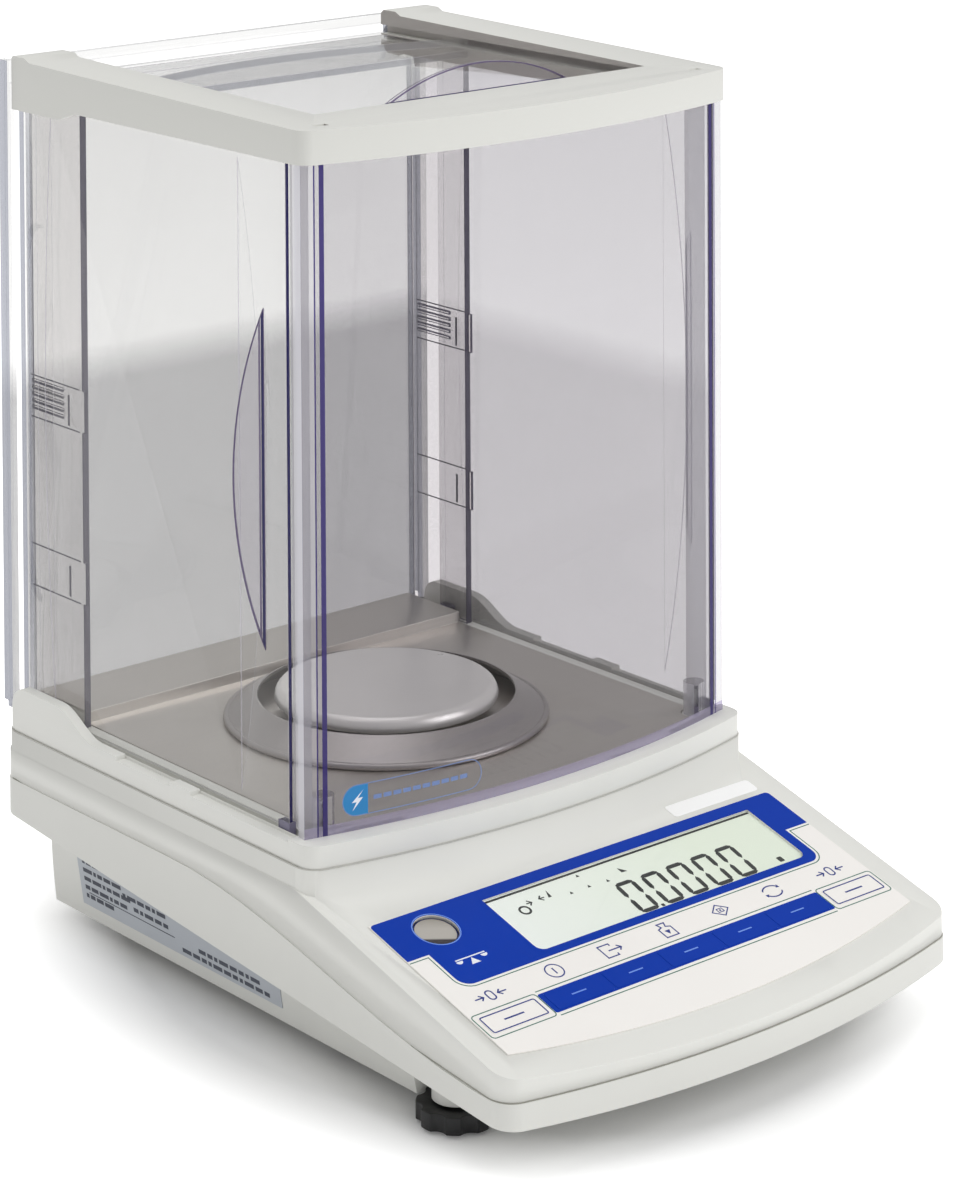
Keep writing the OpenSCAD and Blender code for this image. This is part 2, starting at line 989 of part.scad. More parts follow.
// One key: a cap set in the film and a stem that reaches its switch
module key(index) {
    color(index == 0 || index == 6 ? [0.94, 0.94, 0.95] : [0.10, 0.26, 0.65])
    on_panel()
        translate([KEY_XS[index], -key_s, 0]) {
            translate([0, 0, -0.6])
                linear_extrude(height = 1.2)
                    rounded_plate(key_w, key_h, 0.8);
            translate([0, 0, -5.4])
                cylinder(r = key_stem_r, h = 5);
        }
}

module key_zero_left() {
    key(0);
}

module key_power() {
    key(1);
}

module key_print() {
    key(2);
}

module key_cal() {
    key(3);
}

module key_set() {
    key(4);
}

module key_function() {
    key(5);
}

module key_zero_right() {
    key(6);
}

module tact_switches() {
    color([0.12, 0.12, 0.13])
    on_panel()
        for (x = KEY_XS)
            translate([x, -key_s, -7.6])
                difference() {
                    translate([-3.2, -3.2, 0])
                        cube([6.4, 6.4, 3.4]);
                    translate([0, 0, 1])
                        cylinder(r = key_stem_r + 0.15, h = 4);
                }
}

module keypad_board() {
    color([0.10, 0.38, 0.22])
    on_panel()
        translate([0, -key_s, -9.2])
            linear_extrude(height = board_t)
                square([174, 14], center = true);
}

module level_vial() {
    color([0.80, 0.85, 0.90, 0.35])
    translate([level_x, vial_y, vial_top - 10])
        difference() {
            cylinder(r = 7, h = 10);
            translate([0, 0, 2])
                cylinder(r = liquid_r, h = liquid_h);
        }
}

// Liquid of the spirit level, with its bubble left empty
module level_liquid() {
    color([0.75, 0.90, 0.45, 0.35])
    translate([level_x, vial_y, vial_top - 8])
        difference() {
            cylinder(r = liquid_r, h = liquid_h);
            translate([0.6, 0, liquid_h + 0.3])
                sphere(r = 2.2);
        }
}

// ---------- Weighing mechanism ----------

module sensor_base() {
    color([0.70, 0.71, 0.73])
    difference() {
        union() {
            translate([-55, 2, base_plate_z])
                cube([110, 120, base_plate_top - base_plate_z]);
            translate([-22, 98, base_plate_top - 1])
                cube([44, 16, 44]);
            both_sides()
                translate([12, lever_pivot_y - 4, base_plate_top - 1])
                    cube([4, 8, lever_z + 4 - base_plate_top + 1]);
        }
        for (z = [guide_low_z, guide_high_z]) {
            translate([-30, guide_rear_y, z])
                rotate([0, 90, 0])
                    cylinder(r = rod_r + rod_gap, h = 60);
            translate([-30, 90, z - guide_t])
                cube([60, guide_rear_y - 90, 2 * guide_t]);
        }
        translate([-30, lever_pivot_y, lever_z])
            rotate([0, 90, 0])
                cylinder(r = rod_r + rod_gap, h = 60);
        for (at = base_screws_at)
            translate(at)
                cylinder(r = clearance_r, h = 40);
        for (x = [-40, 18])
            translate([x, 20, base_plate_z - 1])
                cube([22, 60, 10]);
    }
}

module floating_frame() {
    color([0.78, 0.78, 0.80])
    difference() {
        translate([-21, 38.5, 20.5])
            cube([42, 16, 35.5]);
        translate([-15, 37, 28])
            cube([30, 12.5, 20]);
        for (z = [guide_low_z, guide_high_z]) {
            translate([-30, guide_front_y, z])
                rotate([0, 90, 0])
                    cylinder(r = rod_r + rod_gap, h = 60);
            translate([-30, guide_front_y, z - guide_t])
                cube([60, 20, 2 * guide_t]);
        }
        translate([-4.3, 37, lever_z - 2.2])
            cube([8.6, 30, 4.4]);
    }
}

// Parallel guide plate with a rod at each end
module guide(z, window_half, window_y, window_len) {
    color([0.82, 0.80, 0.76])
    difference() {
        union() {
            translate([-20, guide_front_y, z - guide_t / 2])
                cube([40, guide_rear_y - guide_front_y, guide_t]);
            for (y = [guide_front_y, guide_rear_y])
                translate([-20, y, z])
                    rotate([0, 90, 0])
                        cylinder(r = rod_r, h = 40);
        }
        translate([-window_half, window_y, z - 5])
            cube([2 * window_half, window_len, 10]);
    }
}

module upper_guide() {
    guide(guide_high_z, 13, 60, 34);
}

module lower_guide() {
    guide(guide_low_z, 17.5, 60, 14);
}

module lever() {
    color([0.74, 0.74, 0.77]) {
        translate([-4, lever_tip_y, lever_z - 1.6])
            cube([8, 40, 3.2]);
        translate([-16, lever_pivot_y, lever_z])
            rotate([0, 90, 0])
                cylinder(r = rod_r, h = 32);
    }
}

module tuning_fork() {
    color([0.70, 0.68, 0.60])
    difference() {
        translate([-6, 84, 41.5])
            cube([12, 14, 17]);
        translate([-3, 83, 45])
            cube([6, 16, 10]);
        translate([-7, 90, 40])
            cube([14, 10, 13.5]);
    }
}

// ---------- Electronics ----------

module main_board() {
    color([0.10, 0.38, 0.22]) {
        difference() {
            translate([-68, -68, board_z])
                cube([136, 60, board_t]);
            for (at = board_screws_at)
                translate([at.x, at.y, board_z - 1])
                    cylinder(r = 1.4, h = 5);
        }
        translate([-20, -48, board_z + board_t])
            cube([16, 16, 2]);
        translate([12, -40, board_z + board_t])
            cube([10, 20, 2.5]);
        translate([-10, -66, board_z + board_t])
            cube([20, 4, 2]);
        for (i = [0:3])
            translate([36 + 8 * i, -50, board_z + board_t])
                cylinder(r = 3, h = 7);
    }
}

module board_screws() {
    color([0.75, 0.75, 0.77]) {
        for (at = board_screws_at)
            translate([at.x, at.y, board_z + board_t - 6])
                screw(1, 6, 2.2, 1.4);
        for (at = base_screws_at)
            translate([at.x, at.y, base_plate_top - 8])
                screw(1.25, 8, 2.8, 1.8);
    }
}

// Ribbon cable from the main board up to the keypad board
module ribbon_cable() {
    low_z = board_z + board_t + 2;
    bend_y = -72;
    rise = 9;
    cable_t = 0.6;
    depth = 9.5;
    key_y = panel_y - key_s * cos(panel_slope) + depth * sin(panel_slope);
    key_z = panel_z - key_s * sin(panel_slope) - depth * cos(panel_slope);
    color([0.80, 0.80, 0.82])
    side_view(18) {
        translate([bend_y, low_z])
            square([7, cable_t]);
        translate([bend_y, low_z])
            square([cable_t, rise]);
        polygon([
            [bend_y, low_z + rise - cable_t],
            [bend_y + cable_t, low_z + rise],
            [key_y + cable_t, key_z - 2],
            [key_y + cable_t, key_z],
            [key_y, key_z],
            [key_y, key_z - 2.4]
        ]);
    }
}

module dc_jack() {
    color([0.10, 0.10, 0.11])
    translate([jack_x, belly_rear_y, port_z])
        difference() {
            union() {
                translate([-4.6, -8.8, -5.6])
                    cube([9.2, 9, 11.2]);
                translate([-6.5, 0, -7])
                    cube([13, 1.2, 14]);
            }
            difference() {
                translate([0, 2, 0])
                    rotate([90, 0, 0])
                        cylinder(r = 3.1, h = 9);
                rotate([90, 0, 0])
                    cylinder(r = 1.05, h = 9);
            }
        }
}

module serial_port() {
    color([0.72, 0.72, 0.74])
    translate([port_x, belly_rear_y, port_z])
        difference() {
            union() {
                translate([-15.4, 0, -6.2])
                    cube([30.8, 1, 12.4]);
                translate([-9.6, -9, -5])
                    cube([19.2, 9.5, 10]);
                rotate([-90, 0, 0])
                    linear_extrude(height = 6.5)
                        polygon([[-8.6, -4.1], [8.6, -4.1], [7.2, 4.1], [-7.2, 4.1]]);
            }
            translate([0, 1.5, 0])
                rotate([-90, 0, 0])
                    linear_extrude(height = 6)
                        polygon([[-8, -3.6], [8, -3.6], [6.7, 3.6], [-6.7, 3.6]]);
            for (x = [-1, 1])
                translate([x * jackscrew_spacing / 2, -1, 0])
                    rotate([-90, 0, 0])
                        cylinder(r = 1.6, h = 4);
        }
}

// Hexagonal posts that take the cable plug's screws
module jackscrews() {
    color([0.78, 0.78, 0.80])
    for (x = [-1, 1])
        translate([port_x + x * jackscrew_spacing / 2, belly_rear_y, port_z])
            rotate([-90, 0, 0])
                difference() {
                    union() {
                        translate([0, 0, 1])
                            cylinder(r = 2.7, h = 5, $fn = 6);
                        translate([0, 0, -6])
                            cylinder(r = 1.5, h = 8);
                    }
                    translate([0, 0, 1])
                        cylinder(r = jackscrew_hole_r, h = 6);
                }
}

// ---------- Feet and fixings ----------

// Lobed levelling knob with a bore for its stud
module foot_knob(x) {
    lobes = 8;
    color([0.07, 0.07, 0.08])
    translate([x, foot_y, knob_z])
        difference() {
            cylinder(r = knob_d / 2, h = knob_h);
            for (i = [0:lobes - 1])
                rotate([0, 0, (i + 0.5) * 360 / lobes])
                    translate([knob_d / 2 + 2.6, 0, -1])
                        cylinder(r = 4, h = knob_h + 2);
            translate([0, 0, 1])
                cylinder(r = stud_d / 2, h = knob_h);
        }
}

module foot_knob_left() {
    foot_knob(-foot_x);
}

module foot_knob_right() {
    foot_knob(foot_x);
}

module foot_stud(x) {
    color([0.75, 0.75, 0.77])
    translate([x, foot_y, knob_z + 1])
        cylinder(r = stud_d / 2, h = 20);
}

module foot_stud_left() {
    foot_stud(-foot_x);
}

module foot_stud_right() {
    foot_stud(foot_x);
}

module foot_pad(x) {
    color([0.05, 0.05, 0.05])
    translate([x, foot_y, 0])
        cylinder(r = pad_r, h = knob_z - 0.05);
}

module foot_pad_left() {
    foot_pad(-foot_x);
}

module foot_pad_right() {
    foot_pad(foot_x);
}

module foot_inserts() {
    color([0.80, 0.65, 0.30])
    for (x = [-foot_x, foot_x])
        translate([x, foot_y, boss_bottom])
            difference() {
                cylinder(r = insert_r, h = 14);
                translate([0, 0, -1])
                    cylinder(r = foot_bore_r, h = 20);
            }
}

module rear_feet() {
    color([0.08, 0.08, 0.08])
    for (x = [-rear_foot_x, rear_foot_x])
        translate([x, rear_foot_y, 0]) {
            cylinder(r = pad_r, h = belly_z);
            cylinder(r = rear_foot_stem_r, h = belly_z + wall);
        }
}

module case_bolts() {
    bolt_top = deck_z + 3;
    color([0.72, 0.72, 0.74])
    for (at = bolts_at)
        translate([at.x, at.y, bolt_top])
            mirror([0, 0, 1])
                screw(bolt_r, bolt_top - belly_z - 4, 3.8, 3);
}

module pane_screws() {
    color([0.82, 0.82, 0.84])
    for (x = [-boss_x, boss_x])
        translate([x, boss_y, deck_top + 9])
            mirror([0, 0, 1])
                screw(screw_r, deck_top + 9 - deck_z - 2, 3, 1.8);
}

module wall_screws() {
    color([0.82, 0.82, 0.84])
    for (at = WALL_SCREWS)
        translate([at[0], wall_y - 8, at[1]])
            rotate([-90, 0, 0])
                screw(screw_r, 11, 2.7, 1.8);
}

// Blank rating label on the drafted left side of the belly, its top edge parallel to the skirt
module rating_label() {
    slope = (belly_top_half - belly_bottom_half) / (belly_top_z - belly_z);
    low_x = belly_bottom_half + slope * (label_low_z - belly_z) + adhesive_t;
    high_x = belly_bottom_half + slope * (label_high_z - belly_z) + adhesive_t;
    color([0.72, 0.75, 0.80])
    intersection() {
        front_view(label_front_y, label_rear_y)
            polygon([
                [-low_x, label_low_z],
                [-high_x, label_high_z],
                [-high_x - label_t, label_high_z],
                [-low_x - label_t, label_low_z]
            ]);
        side_view(far)
            polygon([
                [label_front_y, 0],
                [label_rear_y, 0],
                [label_rear_y, skirt_z(label_rear_y) - 2],
                [label_front_y, skirt_z(label_front_y) - 2]
            ]);
    }
}

lower_case();
upper_case();
chamber_deck();
floor_plate();
wind_ring();
pan();
pan_support();
front_pane();
rear_wall();
side_pane_left();
side_pane_right();
roof_pane();
top_frame();
door_left();
door_right();
door_top_slide();
handle_left();
handle_right();
handle_top();
glides_left();
glides_right();
overlay_film();
lcd_window();
lcd_module();
key_zero_left();
key_power();
key_print();
key_cal();
key_set();
key_function();
key_zero_right();
tact_switches();
keypad_board();
level_vial();
level_liquid();
sensor_base();
floating_frame();
upper_guide();
lower_guide();
lever();
tuning_fork();
main_board();
board_screws();
ribbon_cable();
dc_jack();
serial_port();
jackscrews();
foot_knob_left();
foot_knob_right();
foot_stud_left();
foot_stud_right();
foot_pad_left();
foot_pad_right();
foot_inserts();
rear_feet();
case_bolts();
pane_screws();
wall_screws();
rating_label();
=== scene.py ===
"""Analytical balance: finishes, rounded mouldings, printed graphics, stage, lights and camera."""

import json
import math

import bmesh
import bpy
from mathutils import Matrix, Vector
from mathutils.geometry import tessellate_polygon

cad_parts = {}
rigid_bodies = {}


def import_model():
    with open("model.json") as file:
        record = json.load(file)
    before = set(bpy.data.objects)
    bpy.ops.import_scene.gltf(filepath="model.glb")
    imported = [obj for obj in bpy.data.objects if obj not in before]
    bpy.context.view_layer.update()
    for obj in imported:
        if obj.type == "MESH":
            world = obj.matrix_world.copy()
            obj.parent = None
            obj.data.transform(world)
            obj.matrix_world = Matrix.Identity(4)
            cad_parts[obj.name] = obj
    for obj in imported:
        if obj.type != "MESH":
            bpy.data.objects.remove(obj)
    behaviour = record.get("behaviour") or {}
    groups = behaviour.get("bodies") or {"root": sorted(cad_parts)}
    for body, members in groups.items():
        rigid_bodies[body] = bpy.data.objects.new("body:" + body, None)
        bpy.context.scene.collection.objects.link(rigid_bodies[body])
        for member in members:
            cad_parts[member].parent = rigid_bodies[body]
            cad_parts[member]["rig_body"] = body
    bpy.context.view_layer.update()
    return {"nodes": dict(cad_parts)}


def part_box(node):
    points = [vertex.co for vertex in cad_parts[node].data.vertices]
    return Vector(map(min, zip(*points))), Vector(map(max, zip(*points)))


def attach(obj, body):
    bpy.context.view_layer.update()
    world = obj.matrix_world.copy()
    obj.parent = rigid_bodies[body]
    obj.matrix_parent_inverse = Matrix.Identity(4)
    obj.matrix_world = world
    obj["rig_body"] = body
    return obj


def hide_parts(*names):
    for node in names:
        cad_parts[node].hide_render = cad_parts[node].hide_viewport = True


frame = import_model()
nodes = frame["nodes"]

MM = 0.001

# Values shared with the part, in millimetres and degrees.
# On the panel, x runs across it and s runs down its slope.
BOW_R = 370.0
CORNER_R = 9.0
PANEL_SLOPE = 15.0
FILM_T = 0.4
FILM_HALF_W = 89.3
LCD = {"x": 14.2, "s": 20.2, "w": 121.0, "h": 30.0}
LEVEL = {"x": -70.0, "s": 11.0, "r": 8.2}
KEY_S = 57.0
KEY_PITCH = 24.3
KEY_END_X = 75.5
KEY_W = 23.2
KEY_H = 8.6
HAIRLINE = 0.35
DECK_FRONT_Y = -48.5
DECK_JOINT_Z = 67.3
DECK_CORNER_R = 8.2
CLIP_Z = (119, 180)
CLIP_H = 15

# Edges that turn by more than this are rounded
CREASE = 35


def box_mm(name):
    """Lowest and highest corner of a CAD node in millimetres."""
    low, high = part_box(name)
    return low / MM, high / MM


lower_low, lower_high = box_mm("lower_case")
film_high = box_mm("overlay_film")[1]
SEAM_REAR_Z = lower_high.z
SEAM_NOSE_Z = box_mm("upper_case")[0].z
NOSE_Y = lower_low.y
REAR_Y = lower_high.y
HALF_W = lower_high.x
PANE_FRONT_Y = box_mm("front_pane")[0].y


# ---------- Materials ----------


def srgb(red, green, blue):
    """Linear colour from 0..255 values."""

    def linear(value):
        value /= 255
        return value / 12.92 if value <= 0.04045 else ((value + 0.055) / 1.055) ** 2.4

    return (linear(red), linear(green), linear(blue), 1.0)


def scaled(colour, factor):
    """The colour made lighter or darker."""
    return tuple(min(1.0, c * factor) for c in colour[:3]) + (1.0,)


def join(tree, value, socket):
    """Links a socket, or sets a plain value."""
    if isinstance(value, bpy.types.NodeSocket):
        tree.links.new(value, socket)
    else:
        socket.default_value = value


def math_node(tree, operation, *values):
    """One arithmetic step in a node tree."""
    made = tree.nodes.new("ShaderNodeMath")
    made.operation = operation
    for socket, value in zip(made.inputs, values):
        join(tree, value, socket)
    return made.outputs[0]


class Graph:
    """A material's node tree, with short ways to add and join its nodes."""

    def __init__(self, name):
        self.material = bpy.data.materials.new(name)
        self.material.use_nodes = True
        self.tree = self.material.node_tree
        self.tree.nodes.clear()

    def add(self, kind, settings=None, **inputs):
        """Adds a shader node; inputs are values or sockets, named with _ for a space."""
        made = self.tree.nodes.new("ShaderNode" + kind)
        for key, value in (settings or {}).items():
            setattr(made, key, value)
        for key, value in inputs.items():
            join(self.tree, value, made.inputs[key.replace("_", " ")])
        return made

    def maths(self, operation, *values):
        """One arithmetic step."""
        return math_node(self.tree, operation, *values)

    def place(self):
        """Coordinates in the object's own frame, in metres."""
        return self.add("TexCoord").outputs["Object"]

    def noise(self, scale, detail=2.0, stretch=(1, 1, 1)):
        """Noise over the object, stretched along an axis by a smaller factor."""
        mapped = self.add("Mapping", Vector=self.place(), Scale=stretch)
        made = self.add("TexNoise", Vector=mapped.outputs[0], Scale=scale, Detail=detail)
        return made.outputs["Fac"]

    def ramp(self, factor, *stops):
        """Colours or greys blended by factor; each stop is (position, colour)."""
        made = self.add("ValToRGB", Fac=factor)
        points = made.color_ramp.elements
        while len(points) < len(stops):
            points.new(0.5)
        for point, (position, colour) in zip(points, stops):
            point.position = position
            point.color = colour if isinstance(colour, tuple) else (colour, colour, colour, 1)
        return made.outputs["Color"]

    def mix(self, factor, first, second):
        """Blend of two shaders."""
        made = self.add("MixShader", Fac=factor)
        join(self.tree, first, made.inputs[1])
        join(self.tree, second, made.inputs[2])
        return made.outputs[0]

    def bump(self, height, strength, distance):
        """Normal from a height."""
        return self.add(
            "Bump", Height=height, Strength=strength, Distance=distance
        ).outputs["Normal"]

    def finish(self, shader):
        """Ends the tree and returns its material."""
        self.add("OutputMaterial", Surface=shader)
        return self.material


def solid(name, colour, roughness, metallic=0.0, grain=900.0, relief=0.00002, spread=0.03, **extra):
    """Opaque finish: faint colour drift, uneven gloss and a fine moulded or cast grain."""
    g = Graph(name)
    drift = g.noise(22.0, 3.0)
    shade = g.ramp(drift, (0.3, scaled(colour, 1 - spread)), (0.7, scaled(colour, 1 + spread)))
    gloss = g.ramp(g.noise(60.0), (0.2, roughness * 0.9), (0.8, min(1.0, roughness * 1.1)))
    normal = g.bump(g.noise(grain, 1.0), 0.25, relief)
    shader = g.add(
        "BsdfPrincipled",
        Base_Color=shade,
        Roughness=gloss,
        Metallic=metallic,
        Normal=normal,
        **extra,
    )
    return g.finish(shader.outputs[0])


def brushed(name, colour, roughness, stretch, spread=0.10, metallic=0.85):
    """Metal with fine lines drawn along one axis."""
    g = Graph(name)
    lines = g.noise(1400.0, 2.0, stretch)
    drift = g.noise(9.0, 2.0)
    tone = g.maths("ADD", g.maths("MULTIPLY", lines, 0.6), g.maths("MULTIPLY", drift, 0.4))
    shade = g.ramp(tone, (0.3, scaled(colour, 1 - spread)), (0.7, scaled(colour, 1 + spread)))
    gloss = g.ramp(lines, (0.3, roughness * 0.85), (0.7, roughness * 1.15))
    normal = g.bump(lines, 0.15, 0.00002)
    shader = g.add(
        "BsdfPrincipled", Base_Color=shade, Roughness=gloss, Metallic=metallic, Normal=normal
    )
    return g.finish(shader.outputs[0])


def tinted(g, colour, share, drift=0.02):
    """Part of a clear sheet that holds a deeper colour: share of it is opaque."""
    shade = g.ramp(g.noise(15.0), (0.3, scaled(colour, 1 - drift)), (0.7, scaled(colour, 1 + drift)))
    solid_part = g.add("BsdfDiffuse", Color=shade).outputs[0]
    clear_part = g.add("BsdfTransparent", Color=scaled(colour, 1.5)).outputs[0]
    return g.mix(share, clear_part, solid_part)


def between(g, value, low, high):
    """1 where value, in metres, lies between low and high, in millimetres."""
    above = g.maths("GREATER_THAN", value, low * MM)
    below = g.maths("LESS_THAN", value, high * MM)
    return g.maths("MULTIPLY", above, below)


def outward(g, facing, axis):
    """A face's outward normal along an axis, also where the face is seen from inside."""
    normal = g.add("SeparateXYZ", Vector=facing.outputs["True Normal"]).outputs[axis]
    flip = g.maths("SUBTRACT", 1.0, g.maths("MULTIPLY", facing.outputs["Backfacing"], 2.0))
    return g.maths("MULTIPLY", normal, flip)


def clear(name, tint, cuts=(), horizon_shade=None, bands=(), front_bands=(), gloss=1.0):
    """Clear moulded sheet that tints what the camera sees through it and lets the light pass.

    Each cut (axis, side, colour, share) deepens the faces that look to that side. The height and
    the tint below it, if given, are painted shade: below that height the sheet tints darker, as
    if a darker backdrop showed through it. Each band (axis, low, high, colour, share) is a strip
    between two distances from the middle, and the front bands only lie on faces that look forward.
    """
    light_passed = (0.97, 0.97, 0.97, 1)
    horizon_blur = 14
    g = Graph(name)
    place = g.add("SeparateXYZ", Vector=g.place())
    drift = g.noise(7.0, 2.0)
    face = g.ramp(drift, (0.3, scaled(tint, 0.994)), (0.7, scaled(tint, 1.006)))
    # Painted shade: darker below a given height, as if a darker backdrop showed through
    if horizon_shade is not None:
        horizon_z, shaded_tint = horizon_shade
        above = g.maths("SUBTRACT", place.outputs["Z"], horizon_z * MM)
        height = g.maths("DIVIDE", above, horizon_blur * MM)
        face = g.ramp(g.maths("ADD", height, 0.5), (0.0, shaded_tint), (1.0, tint))
    facing = g.add("NewGeometry")
    seen = g.add("LightPath").outputs["Is Camera Ray"]
    passed = g.add("BsdfTransparent", Color=light_passed).outputs[0]
    skin = g.mix(seen, passed, g.add("BsdfTransparent", Color=face).outputs[0])
    forward = g.maths("LESS_THAN", outward(g, facing, "Y"), -0.5)
    for band in bands + front_bands:
        axis, low, high, colour, share = band
        inside = between(g, g.maths("ABSOLUTE", place.outputs[axis]), low, high)
        if band in front_bands:
            inside = g.maths("MULTIPLY", inside, forward)
        skin = g.mix(inside, skin, tinted(g, colour, share))
    for axis, side, colour, share in cuts:
        along = g.maths("MULTIPLY", outward(g, facing, axis), side)
        skin = g.mix(g.maths("GREATER_THAN", along, 0.7), skin, tinted(g, colour, share))
    shine = g.add("BsdfGlossy", Color=(1, 1, 1, 1), Roughness=0.03).outputs[0]
    mirror = g.add("Fresnel", IOR=1.46).outputs[0]
    front_side = g.maths("SUBTRACT", 1.0, facing.outputs["Backfacing"])
    share = g.maths("MULTIPLY", g.maths("MULTIPLY", mirror, front_side), gloss)
    return g.finish(g.mix(share, skin, shine))


def edge_line(name, colour, share):
    """The thin deep-coloured line along a rounded edge of a clear sheet."""
    g = Graph(name)
    return g.finish(tinted(g, colour, share, 0.05))


def frame_look(colour, channel_shade):
    """White moulding whose side walls along the roof door are a darker colour: painted shade."""
    walls_from, walls_to = 60, 85
    g = Graph("shaded_frame_plastic")
    across = g.add("SeparateXYZ", Vector=g.place()).outputs["X"]
    sideways = g.add("SeparateXYZ", Vector=g.add("NewGeometry").outputs["True Normal"]).outputs["X"]
    wall = g.maths("GREATER_THAN", g.maths("ABSOLUTE", sideways), 0.7)
    near_door = between(g, g.maths("ABSOLUTE", across), walls_from, walls_to)
    # Painted shade on the side walls of the roof door's slot
    inner = g.maths("MULTIPLY", near_door, wall)
    shade = g.ramp(inner, (0.0, colour), (1.0, channel_shade))
    normal = g.bump(g.noise(900.0, 1.0), 0.25, 0.00002)
    gloss = g.ramp(g.noise(60.0), (0.2, 0.34), (0.8, 0.42))
    shader = g.add("BsdfPrincipled", Base_Color=shade, Roughness=gloss, Normal=normal)
    return g.finish(shader.outputs[0])


WHITE = srgb(229, 229, 224)
# Darker copies of the case white: painted shade on the lower case and the top frame
SHADED_WHITE = srgb(221, 221, 216)
FRAME_SHADED_WHITE = srgb(218, 218, 213)
# Painted shade for the walls beside the roof door
CHANNEL_SHADE = srgb(158, 153, 149)
FILM_WHITE = srgb(246, 243, 239)
BLUE = srgb(14, 58, 168)
PALE_BLUE = srgb(110, 150, 230)
INK_BLUE = srgb(24, 48, 130)
INK_GREEN = srgb(50, 110, 95)
STEEL = srgb(216, 211, 206)
RING_STEEL = srgb(192, 187, 186)
LENGTHWISE = (0.02, 1, 1)

# Share of red, green and blue that a clear face lets through to the camera
CLEAR = (0.856, 0.855, 0.852, 1.0)
CLEAR_RIGHT = (0.893, 0.891, 0.893, 1.0)
CLEAR_FRONT = (0.765, 0.757, 0.768, 1.0)
CLEAR_SIDE = (0.915, 0.905, 0.905, 1.0)
CLEAR_ROOF = (0.890, 0.889, 0.890, 1.0)
CLEAR_FIN = (0.930, 0.920, 0.940, 1.0)
# Tints below a height on the rear wall and the right door: painted shade, as if a darker backdrop
# showed through
HORIZON_SHADE_REAR = (0.636, 0.634, 0.637, 1.0)
HORIZON_SHADE_RIGHT = (0.775, 0.770, 0.775, 1.0)

# Colours that gather along the edges of the clear pieces
VIOLET = srgb(74, 66, 120)
NAVY = srgb(38, 34, 84)
SLATE = srgb(92, 88, 104)
HAZE = srgb(176, 170, 190)
GREY_EDGE = srgb(150, 152, 160)
PALE_EDGE = srgb(205, 203, 208)
RIB_LIGHT = srgb(234, 233, 240)
FIN_LINE = srgb(120, 110, 138)
MILK = srgb(206, 198, 186)

# Look of each material slot of the record, and of the seams
LOOKS = {
    "case_plastic": solid("case_plastic", WHITE, 0.38, spread=0.012),
    "glide_plastic": solid("glide_plastic", srgb(116, 112, 134), 0.35),
    "stainless_brushed": brushed("stainless_brushed", STEEL, 0.36, LENGTHWISE, 0.06),
    "stainless_satin": solid("stainless_satin", srgb(250, 247, 245), 0.3, 0.42, 900.0, 0.0),
    "film_white": solid(
        "film_white", FILM_WHITE, 0.45, grain=1800.0, spread=0.01, Specular_IOR_Level=0.2
    ),
    "film_blue": solid(
        "film_blue", BLUE, 0.35, grain=1800.0, spread=0.04, Specular_IOR_Level=0.06
    ),
    "display_window": clear("display_window", (0.985, 0.99, 0.985, 1), gloss=0.5),
    "display_body": solid("display_body", srgb(206, 216, 200), 0.45, spread=0.02),
    "circuit_board": solid("circuit_board", srgb(28, 92, 58), 0.45, spread=0.15),
    "black_plastic": solid("black_plastic", srgb(20, 20, 22), 0.42, spread=0.15),
    "vial_acrylic": solid("vial_acrylic", MILK, 0.3),
    "vial_liquid": solid("vial_liquid", srgb(190, 196, 150), 0.1),
    "cast_aluminium": solid("cast_aluminium", srgb(170, 172, 176), 0.5, 1.0, 500.0, 0.00008),
    "spring_alloy": solid("spring_alloy", srgb(176, 160, 130), 0.3, 1.0),
    "plated_steel": solid("plated_steel", srgb(190, 190, 192), 0.28, 1.0),
    "ribbon_grey": solid("ribbon_grey", srgb(196, 196, 200), 0.5),
    "black_rubber": solid("black_rubber", srgb(16, 16, 17), 0.7, grain=600.0),
    "insert_brass": solid("insert_brass", srgb(196, 164, 90), 0.32, 1.0),
    "seam_shadow": solid("seam_shadow", srgb(150, 149, 140), 0.6),
    "seam_soft": solid("seam_soft", srgb(192, 191, 185), 0.6),
    "label_foil": solid("label_foil", srgb(182, 187, 194), 0.42, spread=0.04),
}

INKS = {
    "blue": solid("ink_blue", INK_BLUE, 0.5),
    "pale": solid("ink_pale_blue", PALE_BLUE, 0.4),
    "green": solid("ink_green", INK_GREEN, 0.5),
    "white": solid("ink_white", srgb(235, 238, 245), 0.5),
    "paper": solid("ink_paper", srgb(254, 254, 254), 0.6, spread=0.0),
    "grey": solid("ink_grey", srgb(70, 74, 86), 0.6, spread=0.2),
    "segment": solid("lcd_segment", srgb(38, 42, 40), 0.5),
    "sky": solid("ink_sky_blue", srgb(28, 128, 190), 0.4),
    "mist": solid("ink_mist_blue", srgb(112, 134, 182), 0.4),
    "navy": solid("ink_navy", srgb(14, 30, 96), 0.4),
}

# ---------- CAD pieces ----------

# How far each visible piece's edges are rounded, in millimetres; the upper case has no
# rounding but that of its outer rim
ROUNDING = {
    "lower_case": 0.7,
    "upper_case": 0.0,
    "chamber_deck": 0.9,
    "top_frame": 0.8,
    "door_left": 0.3,
    "door_right": 0.3,
    "door_top_slide": 0.35,
    "front_pane": 0.35,
    "rear_wall": 0.35,
    "roof_pane": 0.3,
    "side_pane_left": 0.35,
    "side_pane_right": 0.35,
    "handle_left": 0.4,
    "handle_right": 0.4,
    "handle_top": 0.4,
    "glides_left": 0.3,
    "glides_right": 0.3,
    "floor_plate": 0.2,
    "foot_knob_left": 0.8,
    "foot_knob_right": 0.8,
    "serial_port": 0.2,
    "dc_jack": 0.4,
    "wall_screws": 0.3,
    "pane_screws": 0.3,
}

